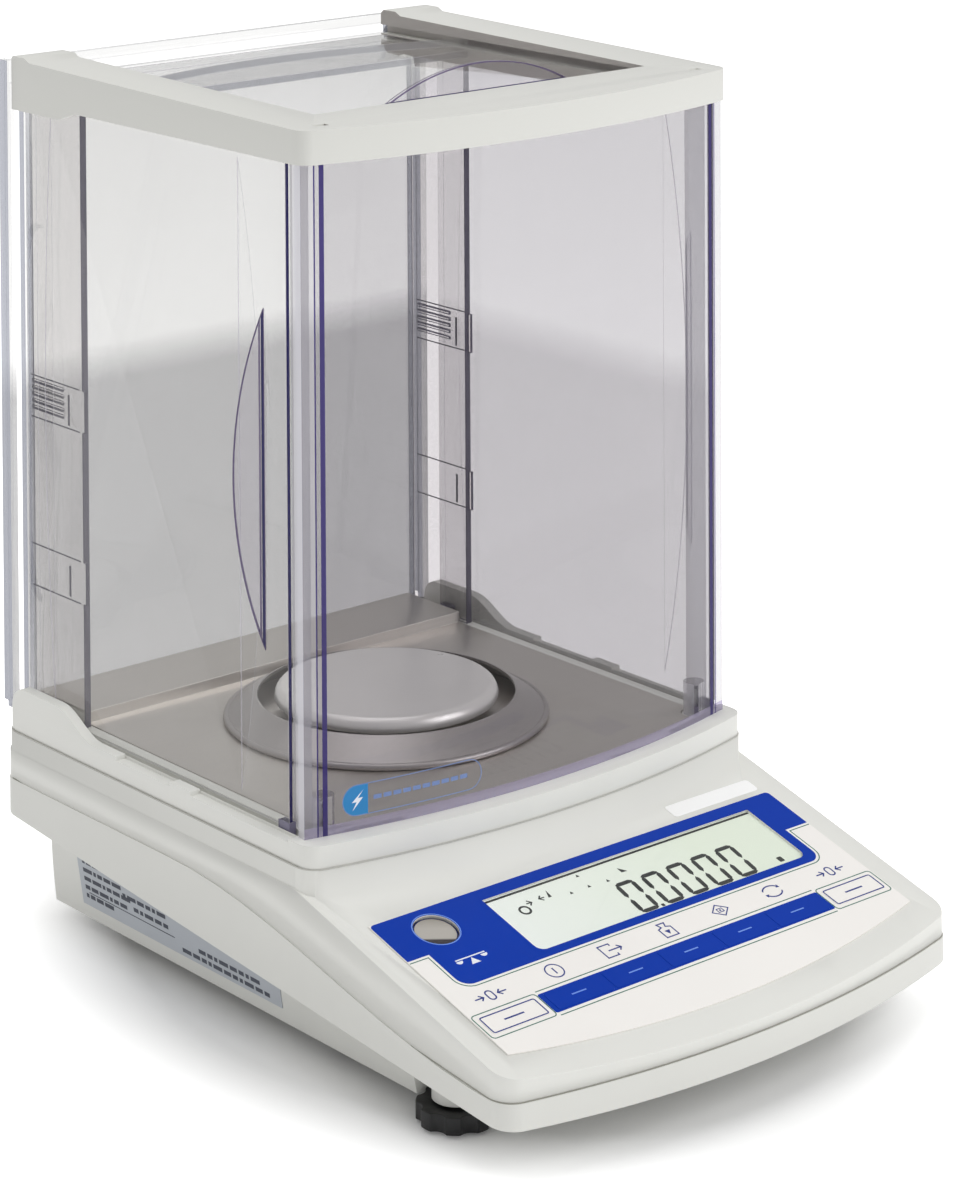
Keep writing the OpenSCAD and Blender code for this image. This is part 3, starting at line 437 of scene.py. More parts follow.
LINES = {
    "violet": edge_line("edge_violet", VIOLET, 0.8),
    "slate": edge_line("edge_slate", SLATE, 0.75),
    "grey": edge_line("edge_grey", GREY_EDGE, 0.8),
    "pale": edge_line("edge_pale", PALE_EDGE, 0.5),
    "fin": edge_line("edge_fin", FIN_LINE, 0.62),
}

# Colour of the line along the edges of each clear piece
LINE_OF = {
    "door_left": "pale",
    "door_right": "pale",
    "door_top_slide": "pale",
    "front_pane": "violet",
    "rear_wall": "grey",
    "roof_pane": "pale",
    "side_pane_left": "slate",
    "side_pane_right": "slate",
    "handle_left": "fin",
    "handle_right": "fin",
    "handle_top": "fin",
}

# Bands and cuts in the sheets below, as clear() takes them
# Painted reflection of the rib inside the front pane, as two strips on its front faces
RIB_REFLECTION_BAND = ("X", 86.0, 87.7, VIOLET, 0.75)
RIB_REFLECTION_LINE = ("X", 89.1, 89.6, VIOLET, 0.6)
RIB_CUTS = (("X", -1, RIB_LIGHT, 0.5), ("X", 1, RIB_LIGHT, 0.3))
DOOR_LINE = ("X", 91.8, 93.3, NAVY, 0.85)
PANE_FOOT = ("Z", 74, 78.4, HAZE, 0.42)
SIDE_ROOT = ("X", 92, 94.1, NAVY, 0.85)
# Height below which the rear wall and the right door tint darker: painted shade
ROOF_ROOT = ("Z", 300, 305.2, VIOLET, 0.9)
HORIZON_Z = 193
SIDE_CUTS = (("Y", -1, SLATE, 0.8), ("Y", 1, GREY_EDGE, 0.2))

# The pane's foot band and the painted reflection of its rib
RIB_BANDS = (PANE_FOOT, RIB_REFLECTION_BAND, RIB_REFLECTION_LINE)

# Pieces whose look differs from that of their slot
OWN_LOOKS = {
    "front_pane": clear("sheet_front", CLEAR_FRONT, RIB_CUTS, front_bands=RIB_BANDS, gloss=0.3),
    "door_left": clear("sheet_left", CLEAR, front_bands=(DOOR_LINE,)),
    "rear_wall": clear("sheet_rear", CLEAR, (("X", -1, GREY_EDGE, 0.2),), (HORIZON_Z, HORIZON_SHADE_REAR)),
    "door_right": clear("sheet_right", CLEAR_RIGHT, (("Y", -1, SLATE, 0.7),), (HORIZON_Z, HORIZON_SHADE_RIGHT)),
    "side_pane_left": clear("sheet_side_left", CLEAR_SIDE, SIDE_CUTS),
    "side_pane_right": clear("sheet_side_right", CLEAR_SIDE, SIDE_CUTS),
    "roof_pane": clear("sheet_roof", CLEAR_ROOF, (("Y", -1, GREY_EDGE, 0.3),)),
    "door_top_slide": clear("sheet_roof_door", CLEAR_ROOF, (("Y", 1, GREY_EDGE, 0.5),)),
    "handle_left": clear("fin_left", CLEAR_FIN, front_bands=(SIDE_ROOT,)),
    "handle_right": clear("fin_right", CLEAR_FIN, front_bands=(SIDE_ROOT,)),
    "handle_top": clear("fin_top", CLEAR_FIN, bands=(ROOF_ROOT,)),
    # Painted shade: a darker copy of the case white
    "lower_case": solid("shaded_lower_plastic", SHADED_WHITE, 0.38, spread=0.012),
    # Painted shade: a darker copy of the case white, with darker walls beside the roof door
    "top_frame": frame_look(FRAME_SHADED_WHITE, CHANNEL_SHADE),
    "wind_ring": brushed("ring_steel", RING_STEEL, 0.36, LENGTHWISE, 0.06),
}


def weld(obj):
    """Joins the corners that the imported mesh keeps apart."""
    made = obj.modifiers.new("weld", "WELD")
    made.merge_threshold = 0.000002


def flatten(obj):
    """Merges flat triangles, so that the bevel runs along real edges only."""
    made = obj.modifiers.new("flatten", "DECIMATE")
    made.decimate_type = "DISSOLVE"
    made.angle_limit = math.radians(0.5)


def crisp(obj):
    """Keeps sharp corners sharp while curved faces look smooth."""
    made = obj.modifiers.new("crisp", "EDGE_SPLIT")
    made.split_angle = math.radians(30)


def bevel(obj, width, by_weight=False):
    """Rounds the sharp edges; a second material, if there is one, goes on the rounding."""
    made = obj.modifiers.new("bevel", "BEVEL")
    made.width = width * MM
    made.segments = 4 if by_weight else 3
    made.limit_method = "WEIGHT" if by_weight else "ANGLE"
    made.angle_limit = math.radians(CREASE)
    made.harden_normals = True
    made.miter_outer = "MITER_ARC"
    if len(obj.data.materials) > 1:
        made.material = 1


def slot_of(name):
    """The record's material slot of a CAD node."""
    return nodes[name].data.materials[0].name.split(".")[0]


def dress_cad():
    for name, obj in nodes.items():
        look = OWN_LOOKS.get(name) or LOOKS[slot_of(name)]
        obj.data.materials.clear()
        obj.data.materials.append(look)
        if name in LINE_OF:
            obj.data.materials.append(LINES[LINE_OF[name]])
        for polygon in obj.data.polygons:
            polygon.use_smooth = True
        weld(obj)
        if name in RIMS:
            flatten(obj)
            weigh_edges(obj, ROUNDING[name], *RIMS[name])
            bevel(obj, RIMS[name][0], True)
        elif name in ROUNDING:
            flatten(obj)
            bevel(obj, ROUNDING[name])
        else:
            crisp(obj)


# Outer rims with a generous rounding: its width, the plane they lie in (height at the middle of
# the depth and slope), which side of the plane, the half width they lie beyond and the front
PANEL_RISE = math.tan(math.radians(PANEL_SLOPE))
RIMS = {
    "upper_case": (3.0, 53.4 + 55.2 * PANEL_RISE, PANEL_RISE, 1, 95.0, NOSE_Y),
    "lower_case": (2.4, 26.8, 0.0772, -1, 95.0, NOSE_Y),
    "top_frame": (1.8, 306.2, 0.0203, 1, 93.0, -43.0),
}


def weigh_edges(obj, small, width, level, slope, side, beyond, front):
    """Gives each sharp edge its share of the rounding: all of it on the outer rim, less elsewhere."""
    tree = bpy.data.node_groups.new("edge_weights_" + obj.name, "GeometryNodeTree")
    tree.interface.new_socket("Geometry", in_out="INPUT", socket_type="NodeSocketGeometry")
    tree.interface.new_socket("Geometry", in_out="OUTPUT", socket_type="NodeSocketGeometry")
    entry = tree.nodes.new("NodeGroupInput")
    leave = tree.nodes.new("NodeGroupOutput")

    def maths(operation, *values):
        return math_node(tree, operation, *values)

    tolerance, bow_reach = 0.5, 2.5
    position = tree.nodes.new("GeometryNodeInputPosition")
    parts = tree.nodes.new("ShaderNodeSeparateXYZ")
    tree.links.new(position.outputs[0], parts.inputs[0])
    x, y, z = parts.outputs
    turn = tree.nodes.new("GeometryNodeInputMeshEdgeAngle").outputs[0]
    sharp = maths("GREATER_THAN", turn, math.radians(CREASE))
    plane = maths("ADD", maths("MULTIPLY", y, slope), level * MM)
    past = maths("MULTIPLY", maths("SUBTRACT", z, plane), side)
    on_plane = maths("GREATER_THAN", past, -tolerance * MM)
    sag = maths("MULTIPLY", maths("MULTIPLY", x, x), 1 / (2 * BOW_R * MM))
    at_front = maths("LESS_THAN", maths("SUBTRACT", y, sag), (front + bow_reach) * MM)
    at_side = maths("GREATER_THAN", maths("ABSOLUTE", x), beyond * MM)
    outer = maths("MAXIMUM", at_front, at_side)
    share = maths("MULTIPLY", maths("MULTIPLY", on_plane, outer), 1 - small / width)
    weight = maths("MULTIPLY", maths("ADD", share, small / width), sharp)
    store = tree.nodes.new("GeometryNodeStoreNamedAttribute")
    store.domain = "EDGE"
    store.data_type = "FLOAT"
    store.inputs["Name"].default_value = "bevel_weight_edge"
    tree.links.new(weight, store.inputs["Value"])
    tree.links.new(entry.outputs[0], store.inputs["Geometry"])
    tree.links.new(store.outputs[0], leave.inputs[0])
    made = obj.modifiers.new("edge_weights", "NODES")
    made.node_group = tree


# ---------- Flat graphics ----------


def arc(x, y, r, start, end, steps=16):
    """Points of a circular arc, in degrees."""
    turns = [math.radians(start + (end - start) * i / steps) for i in range(steps + 1)]
    return [(x + r * math.cos(t), y + r * math.sin(t)) for t in turns]


def circle(x, y, r, steps=32):
    return arc(x, y, r, 0, 360, steps)[:-1]


def rectangle(left, low, right, high):
    return [(left, low), (right, low), (right, high), (left, high)]


def rounded(x, y, w, h, r):
    """Rectangle with rounded corners, centred on x, y."""
    a, b = w / 2 - r, h / 2 - r
    return (
        arc(x + a, y + b, r, 0, 90, 6)
        + arc(x - a, y + b, r, 90, 180, 6)
        + arc(x - a, y - b, r, 180, 270, 6)
        + arc(x + a, y - b, r, 270, 360, 6)
    )


def stroke(points, width):
    """Outline of a line drawn through points, with mitred corners."""
    left, right = [], []
    for i, point in enumerate(points):
        here = Vector(point)
        before = Vector(points[max(i - 1, 0)])
        after = Vector(points[min(i + 1, len(points) - 1)])
        into = (here - before).normalized() if i else (after - here).normalized()
        out = (after - here).normalized() if i < len(points) - 1 else into
        along = (into + out).normalized()
        side = Vector((-along.y, along.x))
        reach = width / 2 / max(0.4, along.dot(into))
        left.append(tuple(here + side * reach))
        right.append(tuple(here - side * reach))
    return left + right[::-1]


def new_piece(name, bm, look, body, smooth=False):
    """A mesh object from bm that rides on a CAD body."""
    mesh = bpy.data.meshes.new(name)
    bmesh.ops.recalc_face_normals(bm, faces=bm.faces)
    bm.to_mesh(mesh)
    bm.free()
    mesh.materials.append(look)
    for polygon in mesh.polygons:
        polygon.use_smooth = smooth
    obj = bpy.data.objects.new(name, mesh)
    bpy.context.scene.collection.objects.link(obj)
    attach(obj, body)
    return obj


def add_plate(bm, outlines, low, high, place):
    """A thin flat plate: the first outline is its edge, the others are holes."""
    flat = [point for line in outlines for point in line]
    bottom = [bm.verts.new(place(x, y, low)) for x, y in flat]
    top = [bm.verts.new(place(x, y, high)) for x, y in flat]
    lines = [[Vector((x, y, 0)) for x, y in line] for line in outlines]
    for a, b, c in tessellate_polygon(lines):
        bm.faces.new((top[a], top[b], top[c]))
        bm.faces.new((bottom[c], bottom[b], bottom[a]))
    start = 0
    for line in outlines:
        count = len(line)
        for i in range(count):
            j = (i + 1) % count
            quad = (bottom[start + i], bottom[start + j], top[start + j], top[start + i])
            bm.faces.new(quad)
        start += count


def add_turned(bm, profile, centre, steps=128):
    """A body turned about a vertical axis from a profile of (radius, height) points."""
    rings = []
    for r, z in profile:
        corners = []
        for i in range(steps if r > 0 else 1):
            turn = math.tau * i / steps
            spot = Vector((centre.x + r * math.cos(turn), centre.y + r * math.sin(turn), z))
            corners.append(bm.verts.new(spot * MM))
        rings.append(corners)
    for upper, lower in zip(rings, rings[1:]):
        for i in range(steps):
            j = (i + 1) % steps
            pairs = ((upper, i), (upper, j), (lower, j), (lower, i))
            corners = [line[k % len(line)] for line, k in pairs]
            # A ring of one corner, on the axis, leaves a triangle
            bm.faces.new(list(dict.fromkeys(corners)))


def print_on(name, shapes, place, look, body, low=0.0, high=0.08):
    """Printed graphics as one thin piece; each shape is an outline and its holes."""
    bm = bmesh.new()
    for outlines in shapes:
        add_plate(bm, outlines, low, high, place)
    return new_piece(name, bm, look, body)


SLOPE = math.radians(PANEL_SLOPE)
PANEL_TOP = Vector((0, film_high.y, film_high.z - FILM_T * math.cos(SLOPE))) * MM
PANEL = Matrix.Translation(PANEL_TOP) @ Matrix.Rotation(SLOPE, 4, "X")
DISPLAY_DEPTH = 0.75


def on_panel(x, s, up):
    """A point on the control panel: x across, s down the slope, up out of the film's face."""
    return PANEL @ Vector((x * MM, -s * MM, (up + FILM_T) * MM))


def on_display(x, s, up):
    """A point on the display's glass, behind the window."""
    return on_panel(x, s, up - DISPLAY_DEPTH)


def on_front_glass(x, z, out):
    """A point on the outer face of the bowed front pane."""
    y = PANE_FRONT_Y + BOW_R - math.sqrt(BOW_R**2 - x**2)
    return Vector((x * MM, (y - out) * MM, z * MM))


def ring(x, y, r, width):
    """A circle drawn as a line."""
    return [circle(x, y, r + width / 2), circle(x, y, r - width / 2)[::-1]]


def frame_line(x, y, w, h, r, width):
    """A rounded rectangle drawn as a line."""
    inner = rounded(x, y, w - 2 * width, h - 2 * width, max(r - width, 0.05))
    return [rounded(x, y, w, h, r), inner[::-1]]


def lcd_outline(grow=0.0):
    """Window of the display: square at the top, rounded at the bottom."""
    reach = grow - 0.1
    left = LCD["x"] - LCD["w"] / 2 - reach
    right = LCD["x"] + LCD["w"] / 2 + reach
    top = LCD["s"] - LCD["h"] / 2 - reach
    bottom = LCD["s"] + LCD["h"] / 2 + reach
    r = 3.2
    return (
        [(left, top), (right, top)]
        + arc(right - r, bottom - r, r, 0, 90, 6)
        + arc(left + r, bottom - r, r, 90, 180, 6)
    )


def band_outline(grow=0.0):
    """Edge of the blue field round the display, with its stepped and rounded lower corners."""
    edge = FILM_HALF_W - 0.2
    step = 20.4 + grow
    left, right = -80.5 - grow, 78.6 + grow
    bottom = 38.4 + grow
    r = 4.6 + grow
    top_r = 1.5
    top_s = 1.7
    return (
        arc(edge - top_r, top_s, top_r, 270, 360, 4)
        + [(edge, step), (right, step)]
        + arc(right - r, bottom - r, r, 0, 90, 8)
        + arc(left + r, bottom - r, r, 90, 180, 8)
        + [(left, step), (-edge, step)]
        + arc(-edge + top_r, top_s, top_r, 180, 270, 4)
    )


def lower_edge(grow):
    """The part of the field's edge, below its rounded upper corners, that a thin line follows."""
    corner_points = 5
    return band_outline(grow)[corner_points:-corner_points]


def key_hole(x):
    """Opening that just lets a key through."""
    return rounded(x, KEY_S, KEY_W + 0.06, KEY_H + 0.06, 0.82)[::-1]


def print_on_panel(name, shapes, look, low=0.0, high=0.06):
    """Graphics printed on the control panel, between two heights over its film."""
    print_on("panel_" + name, shapes, on_panel, look, "base", low, high)


def dress_panel():
    """Blue field, thin lines, icons over the keys and frames round them."""
    dress_field()
    dress_key_row()
    icon_s = 45.0
    shapes = []
    for side in (-1, 1):
        shapes += zero_icon(side * KEY_END_X, icon_s + 0.4)
    shapes += power_icon(-2 * KEY_PITCH, icon_s)
    shapes += output_icon(-KEY_PITCH, icon_s)
    shapes += weight_icon(0, icon_s)
    shapes += diamond_icon(KEY_PITCH, icon_s)
    shapes += cycle_icon(2 * KEY_PITCH, icon_s)
    print_on_panel("icons", shapes, INKS["blue"])
    print_on_panel("emblem", beam_icon(-69.0, 28.6), INKS["white"], 0.1, 0.16)


def dress_field():
    """Blue field round the display, the ring round the level and the line below the field."""
    x, s, r = LEVEL["x"], LEVEL["s"], LEVEL["r"]
    field = [band_outline(), lcd_outline()[::-1], circle(x, s, r - 0.55, 48)[::-1]]
    print_on_panel("field", [field], LOOKS["film_blue"], 0.0, 0.1)
    print_on_panel("level_ring", [ring(x, s, r - 0.2, 0.38)], INKS["pale"], 0.1, 0.16)
    print_on_panel("field_line", [[stroke(lower_edge(1.15), HAIRLINE)]], INKS["green"])


def dress_key_row():
    """Blue strip round the five middle keys, collars and lines round the end keys."""
    strip_half = 2.5 * KEY_PITCH + 1.3
    strip = [rounded(0, KEY_S, 2 * strip_half, KEY_H + 1.2, 0.8)]
    for i in range(-2, 3):
        strip.append(key_hole(i * KEY_PITCH))
    print_on_panel("key_strip", [strip], LOOKS["film_blue"], 0.0, 0.1)
    rail_end = 61.5
    lines = []
    for rail_s in (KEY_S - 6.3, KEY_S + 6.3):
        lines.append([stroke([(-rail_end, rail_s), (rail_end, rail_s)], HAIRLINE)])
    collars = []
    for side in (-1, 1):
        x = side * KEY_END_X
        lines.append(frame_line(x, KEY_S, KEY_W + 3.4, KEY_H + 3.4, 1.6, HAIRLINE))
        collars.append([rounded(x, KEY_S, KEY_W + 1.6, KEY_H + 1.6, 1.0), key_hole(x)])
    print_on_panel("key_collars", collars, LOOKS["film_white"], 0.0, 0.05)
    print_on_panel("key_lines", lines, INKS["green"])


def arrow(x, s, length, width, direction=1):
    """Straight arrow pointing along x."""
    tip = x + direction * length / 2
    tail = x - direction * length / 2
    head = 1.3
    barb = tip - direction * head
    return [
        [stroke([(tail, s), (tip - direction * 0.3, s)], width)],
        [stroke([(barb, s - head), (tip, s), (barb, s + head)], width)],
    ]


def zero_icon(x, s):
    zero = [rounded(x, s, 3.0, 4.8, 1.45), rounded(x, s, 2.0, 3.8, 0.95)[::-1]]
    return [zero] + arrow(x - 4.6, s, 3.4, 0.5) + arrow(x + 4.6, s, 3.4, 0.5, -1)


def power_icon(x, s):
    return [ring(x, s, 3.2, 0.45), [stroke([(x, s - 1.5), (x, s + 1.5)], 0.5)]]


def output_icon(x, s):
    box = [(x + 1.0, s - 2.0), (x + 1.0, s - 3.0), (x - 3.6, s - 3.0), (x - 3.6, s + 3.0)]
    box += [(x + 1.0, s + 3.0), (x + 1.0, s + 2.0)]
    return [[stroke(box, 0.45)]] + arrow(x + 1.6, s, 5.4, 0.5)


def weight_icon(x, s):
    neck = [(x - 2.6, s + 3.4), (x - 2.6, s - 1.0), (x - 0.9, s - 1.6), (x - 1.6, s - 3.4)]
    neck += [(x + 1.6, s - 3.4), (x + 0.9, s - 1.6), (x + 2.6, s - 1.0), (x + 2.6, s + 3.4)]
    base = [stroke([(x - 2.8, s + 3.4), (x + 2.8, s + 3.4)], 0.45)]
    mark = [[(x - 1.1, s + 0.2), (x + 1.1, s + 0.2), (x, s + 2.2)]]
    return [[stroke(neck, 0.45)], base, mark]


def diamond_icon(x, s):
    outer = [(x - 3.8, s), (x, s - 3.2), (x + 3.8, s), (x, s + 3.2)]
    inner = [(x - 3.2, s), (x, s - 2.65), (x + 3.2, s), (x, s + 2.65)]
    return [[outer, inner[::-1]], frame_line(x, s, 2.6, 2.0, 0.2, 0.3), [circle(x, s, 0.4, 12)]]


def cycle_icon(x, s):
    shapes = []
    for turn in (0, 180):
        line = arc(x, s, 3.3, 20 + turn, 145 + turn, 12)
        line = [(x + (px - x) * 1.15, s + (py - s) * 0.85) for px, py in line]
        shapes.append([stroke(line, 0.5)])
        end = Vector(line[-1])
        back = (Vector(line[-2]) - end).normalized()
        side = Vector((-back.y, back.x))
        shapes.append([[tuple(end - back * 1.2), tuple(end + side * 0.9), tuple(end - side * 0.9)]])
    return shapes


def beam_icon(x, s):
    """A plain balance beam on its fulcrum."""
    beam = stroke([(x - 6.0, s - 1.6), (x + 6.0, s - 1.6)], 0.5)
    fulcrum = [(x - 1.8, s + 2.0), (x, s - 1.0), (x + 1.8, s + 2.0)]
    pans = [arc(x + side * 5.0, s - 0.9, 1.3, 0, 180, 8) for side in (-1, 1)]
    return [[beam], [fulcrum], [pans[0]], [pans[1]]]


def dress_keys():
    """A frame on each end key and a short dash on every key; they ride on their keys."""
    low, high = 0.2, 0.26
    for name, side in (("key_zero_left", -1), ("key_zero_right", 1)):
        x = side * KEY_END_X
        border = [frame_line(x, KEY_S, KEY_W - 0.5, KEY_H - 0.5, 0.9, 0.45)]
        body = frame_body(name)
        print_on(name + "_border", border, on_panel, INKS["blue"], body, low, high)
        dash = [[stroke([(x - 4, KEY_S), (x + 4, KEY_S)], 0.6)]]
        print_on(name + "_dash", dash, on_panel, INKS["blue"], body, low, high)
    for i, name in enumerate(("key_power", "key_print", "key_cal", "key_set", "key_function")):
        x = (i - 2) * KEY_PITCH
        body = frame_body(name)
        dash = [[stroke([(x - 3, KEY_S), (x + 3, KEY_S)], 0.5)]]
        print_on(name + "_dash", dash, on_panel, INKS["pale"], body, low, high)


def frame_body(name):
    """The CAD body a node belongs to."""
    return nodes[name]["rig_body"]


def segment_shapes(x, s, w, h, t, lean, lit):
    """Seven-segment digit whose lower left corner is x, s; lit names its segments."""
    gap = 0.2 * t
    half = h / 2

    def slant(points):
        return [(px + (s - py) * lean, py) for px, py in points]

    def across(y):
        return slant([(x + gap, y), (x + t, y - t / 2), (x + w - t, y - t / 2), (x + w - gap, y),
                      (x + w - t, y + t / 2), (x + t, y + t / 2)])

    def upright(px, low, high):
        return slant([(px, low - gap), (px - t / 2, low - t), (px - t / 2, high + t), (px, high + gap),
                      (px + t / 2, high + t), (px + t / 2, low - t)])

    parts = {
        "a": across(s - h + t / 2),
        "g": across(s - half),
        "d": across(s - t / 2),
        "e": upright(x + t / 2, s - t / 4, s - half),
        "c": upright(x + w - t / 2, s - t / 4, s - half),
        "f": upright(x + t / 2, s - half, s - h + t / 4),
        "b": upright(x + w - t / 2, s - half, s - h + t / 4),
    }
    return [[parts[key]] for key in lit]


def dress_display():
    """Pale glass, its digits, the small marks beside them and a painted shadow along its top edge."""
    glass = [[lcd_outline(0.2)]]
    print_on("display_glass", glass, on_display, display_glass(), "base", 0.0, 0.02)
    first_x, foot_s, pitch = -0.4, 34.1, 11.4
    digits = []
    for i in range(5):
        digits += segment_shapes(first_x + pitch * i, foot_s, 8.4, 16.8, 1.75, 0.08, "abcdef")
    point = [rounded(9.3, foot_s - 0.7, 1.3, 1.3, 0.3)]
    shapes = digits + [point] + display_marks()
    print_on("display_digits", shapes, on_display, INKS["segment"], "base", 0.04, 0.06)
    # Painted shadow: a black strip along the display's top edge, below the window's rim
    left, right = LCD["x"] - LCD["w"] / 2 + 0.4, LCD["x"] + LCD["w"] / 2 - 0.4
    top = LCD["s"] - LCD["h"] / 2 + 0.9
    shade = [[stroke([(left, top), (right, top)], 0.9)]]
    black = LOOKS["black_plastic"]
    print_on("display_top_shadow", shade, on_display, black, "base", 0.04, 0.07)


def display_marks():
    """Small plain marks of the display: a ring, arrows, pointers and a unit square."""
    marks = [ring(-35.6, 15.1, 1.9, 0.8)]
    marks += arrow(-31.9, 12.6, 2.2, 0.5) + arrow(-26.2, 12.3, 2.2, 0.5, -1)
    marks.append([[(-23.8, 13.2), (-22.4, 13.2), (-22.2, 9.6)]])
    for x, s in ((-15.0, 14.4), (-6.9, 8.0), (-7.0, 14.2), (1.0, 14.6)):
        marks.append([[(x - 0.7, s + 0.6), (x + 0.7, s + 0.6), (x, s - 0.7)]])
    marks.append([[(8.6, 10.6), (8.6, 13.2), (11.0, 13.4)]])
    marks.append([rounded(65.4, 31.8, 2.2, 2.6, 0.4)])
    return marks


def display_glass():
    """Pale green reflective glass, whiter towards the lower left: painted light."""
    g = Graph("display_glass")
    spots = g.noise(45.0, 3.0)
    across = g.add("SeparateXYZ", Vector=g.place()).outputs["X"]
    # Painted light: whiter towards the left of the glass
    share = g.maths("ADD", g.maths("MULTIPLY", across, 9.0), 0.45)
    share = g.maths("ADD", share, g.maths("MULTIPLY", spots, 0.2))
    shade = g.ramp(share, (0.1, srgb(250, 255, 250)), (0.95, srgb(238, 247, 230)))
    shader = g.add("BsdfPrincipled", Base_Color=shade, Roughness=0.35)
    return g.finish(shader.outputs[0])


def dress_glass_mark():
    """Outlined pill printed on the front glass, with a bolt sign at one end and a row of bars."""
    left, right, z, r = -80.8, -28.4, 84.8, 5.0
    line_half = 0.15
    low, high = 0.02, 0.06
    bar_left = left + 9.0

    def pill(grow):
        # The straight sides have many points, so that they follow the bowed glass
        steps = 20
        run = right - left - 2 * r
        ahead = [run * i / steps for i in range(1, steps)]
        line = arc(left + r, z, r + grow, 90, 270, 12)
        line += [(left + r + along, z - r - grow) for along in ahead]
        line += arc(right - r, z, r + grow, -90, 90, 12)
        line += [(right - r - along, z + r + grow) for along in ahead]
        return line

    bm = bmesh.new()
    add_band(bm, pill(line_half), pill(-line_half), on_front_glass, low, high, True)
    cells = 10
    bars_start = bar_left + 2
    bars_len = right - 5 - bars_start
    bar_half = 0.7
    for i in range(cells):
        a = bars_start + bars_len * i / cells
        b = bars_start + bars_len * (i + 0.8) / cells
        cell = rectangle(a, z - bar_half, b, z + bar_half)
        add_plate(bm, [cell], low, high, on_front_glass)
    new_piece("glass_mark_line", bm, INKS["mist"], "base")
    cap_r = r - line_half
    cap = arc(left + r, z, cap_r, 90, 270, 16) + [(bar_left, z - cap_r), (bar_left, z + cap_r)]
    bolt = [(left + 7.4, z + 3.2), (left + 3.2, z - 0.6), (left + 4.9, z - 0.6)]
    bolt += [(left + 3.4, z - 3.4), (left + 7.2, z + 0.7), (left + 5.4, z + 0.7)]
    for name, shape, ink, top in (("end", [cap, bolt], "sky", high), ("bolt", [bolt], "white", 0.05)):
        look = INKS[ink]
        print_on("glass_mark_" + name, [shape], on_front_glass, look, "base", low, top)


def add_band(bm, outer, inner, place, low, high, closed):
    """A band between two outlines with the same number of points."""
    rings = []
    for line, up in ((outer, low), (outer, high), (inner, high), (inner, low)):
        rings.append([bm.verts.new(place(x, y, up)) for x, y in line])
    count = len(outer)
    for k in range(4):
        first, second = rings[k], rings[(k + 1) % 4]
        for i in range(count if closed else count - 1):
            j = (i + 1) % count
            bm.faces.new((first[i], first[j], second[j], second[i]))


def dress_pan():
    """Round pan: flat face, thick polished rim that curls in below, and its hub."""
    low, high = box_mm("pan")
    centre = (low + high) / 2
    outer, top = high.x, high.z
    rim_w, drop, lip = 3.6, 4.2, 1.1
    flat = outer - rim_w
    sheet = 1.0
    hub_r, hub_h, socket_r, socket_top = 9, 3, 4.1, 0.6
    profile = [(0, top), (flat * 0.5, top)]
    for x, y in arc(0, 0, 1, 90, 0, 12):
        profile.append((flat + rim_w * x, top - drop + drop * y))
    profile += arc(outer - lip, top - drop, lip, -30, -180, 8)
    profile += [(flat - 0.4, top - sheet - 0.6), (flat - 1.6, top - sheet)]
    profile += [(hub_r, top - sheet), (hub_r, top - hub_h), (socket_r, top - hub_h)]
    profile += [(socket_r, top - socket_top), (0, top - socket_top)]
    bm = bmesh.new()
    add_turned(bm, profile, centre)
    satin = "stainless_satin"
    shown = new_piece("pan_disc", bm, LOOKS[satin], frame_body("pan"), smooth=True)
    crisp(shown)
    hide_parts("pan")


def dress_level():
    """Spirit level behind its opening: navy well, milky face with a painted shadow on its near side.
    """
    x, s, r = LEVEL["x"], LEVEL["s"], LEVEL["r"] - 1.25
    well = [[circle(x, s, LEVEL["r"] - 0.62, 48)]]
    print_on("level_well", well, on_panel, INKS["navy"], "base", -1.3, -1.2)
    disc = [[circle(x, s, r, 48)]]
    look = level_face(on_panel(x, s, 0), r)
    print_on("level_face", disc, on_panel, look, "base", -1.2, -1.0)


def level_face(middle, r):
    """Milky glass of radius r round a middle, with painted shade on its far side and a painted shadow
    on its near side.
    """
    g = Graph("level_face")
    place = g.add("SeparateXYZ", Vector=g.place())
    near = g.maths("SUBTRACT", middle.y, place.outputs["Y"])
    leftward = g.maths("SUBTRACT", middle.x, place.outputs["X"])
    depth = g.maths("ADD", near, g.maths("MULTIPLY", leftward, 0.44))
    share = g.maths("ADD", g.maths("DIVIDE", depth, 2.2 * r * MM), 0.5)
    # Painted shade on the far side and a painted shadow on the near side
    milk, far_shade, near_shadow = srgb(182, 177, 170), srgb(158, 152, 142), srgb(52, 46, 52)
    shade = g.ramp(share, (0.0, far_shade), (0.35, milk), (0.7, milk), (0.76, near_shadow))
    shader = g.add("BsdfPrincipled", Base_Color=shade, Roughness=0.15)
    return g.finish(shader.outputs[0])


def dress_clips():
    """Lines moulded round the clips of the rear side panes."""
    for name, side in (("left", -1), ("right", 1)):
        low, high = box_mm("side_pane_" + name)
        face_x = max(abs(low.x), abs(high.x))

        def on_pane(y, z, out):
            return Vector((side * (face_x + out), y, z)) * MM

        front, rear, line_half = 107, 138, 0.25
        slot_y, slot_half, slot_top = 113.8, 0.6, 12
        shapes = []
        for foot in CLIP_Z:
            for z in (foot, foot + CLIP_H):
                shapes.append([rectangle(front, z - line_half, rear, z + line_half)])
            slot = rectangle(slot_y - slot_half, foot + 1, slot_y + slot_half, foot + slot_top)
            shapes.append([slot])
        look = LINES["slate"]
        print_on("clip_lines_" + name, shapes, on_pane, look, "base", 0.02, 0.05)


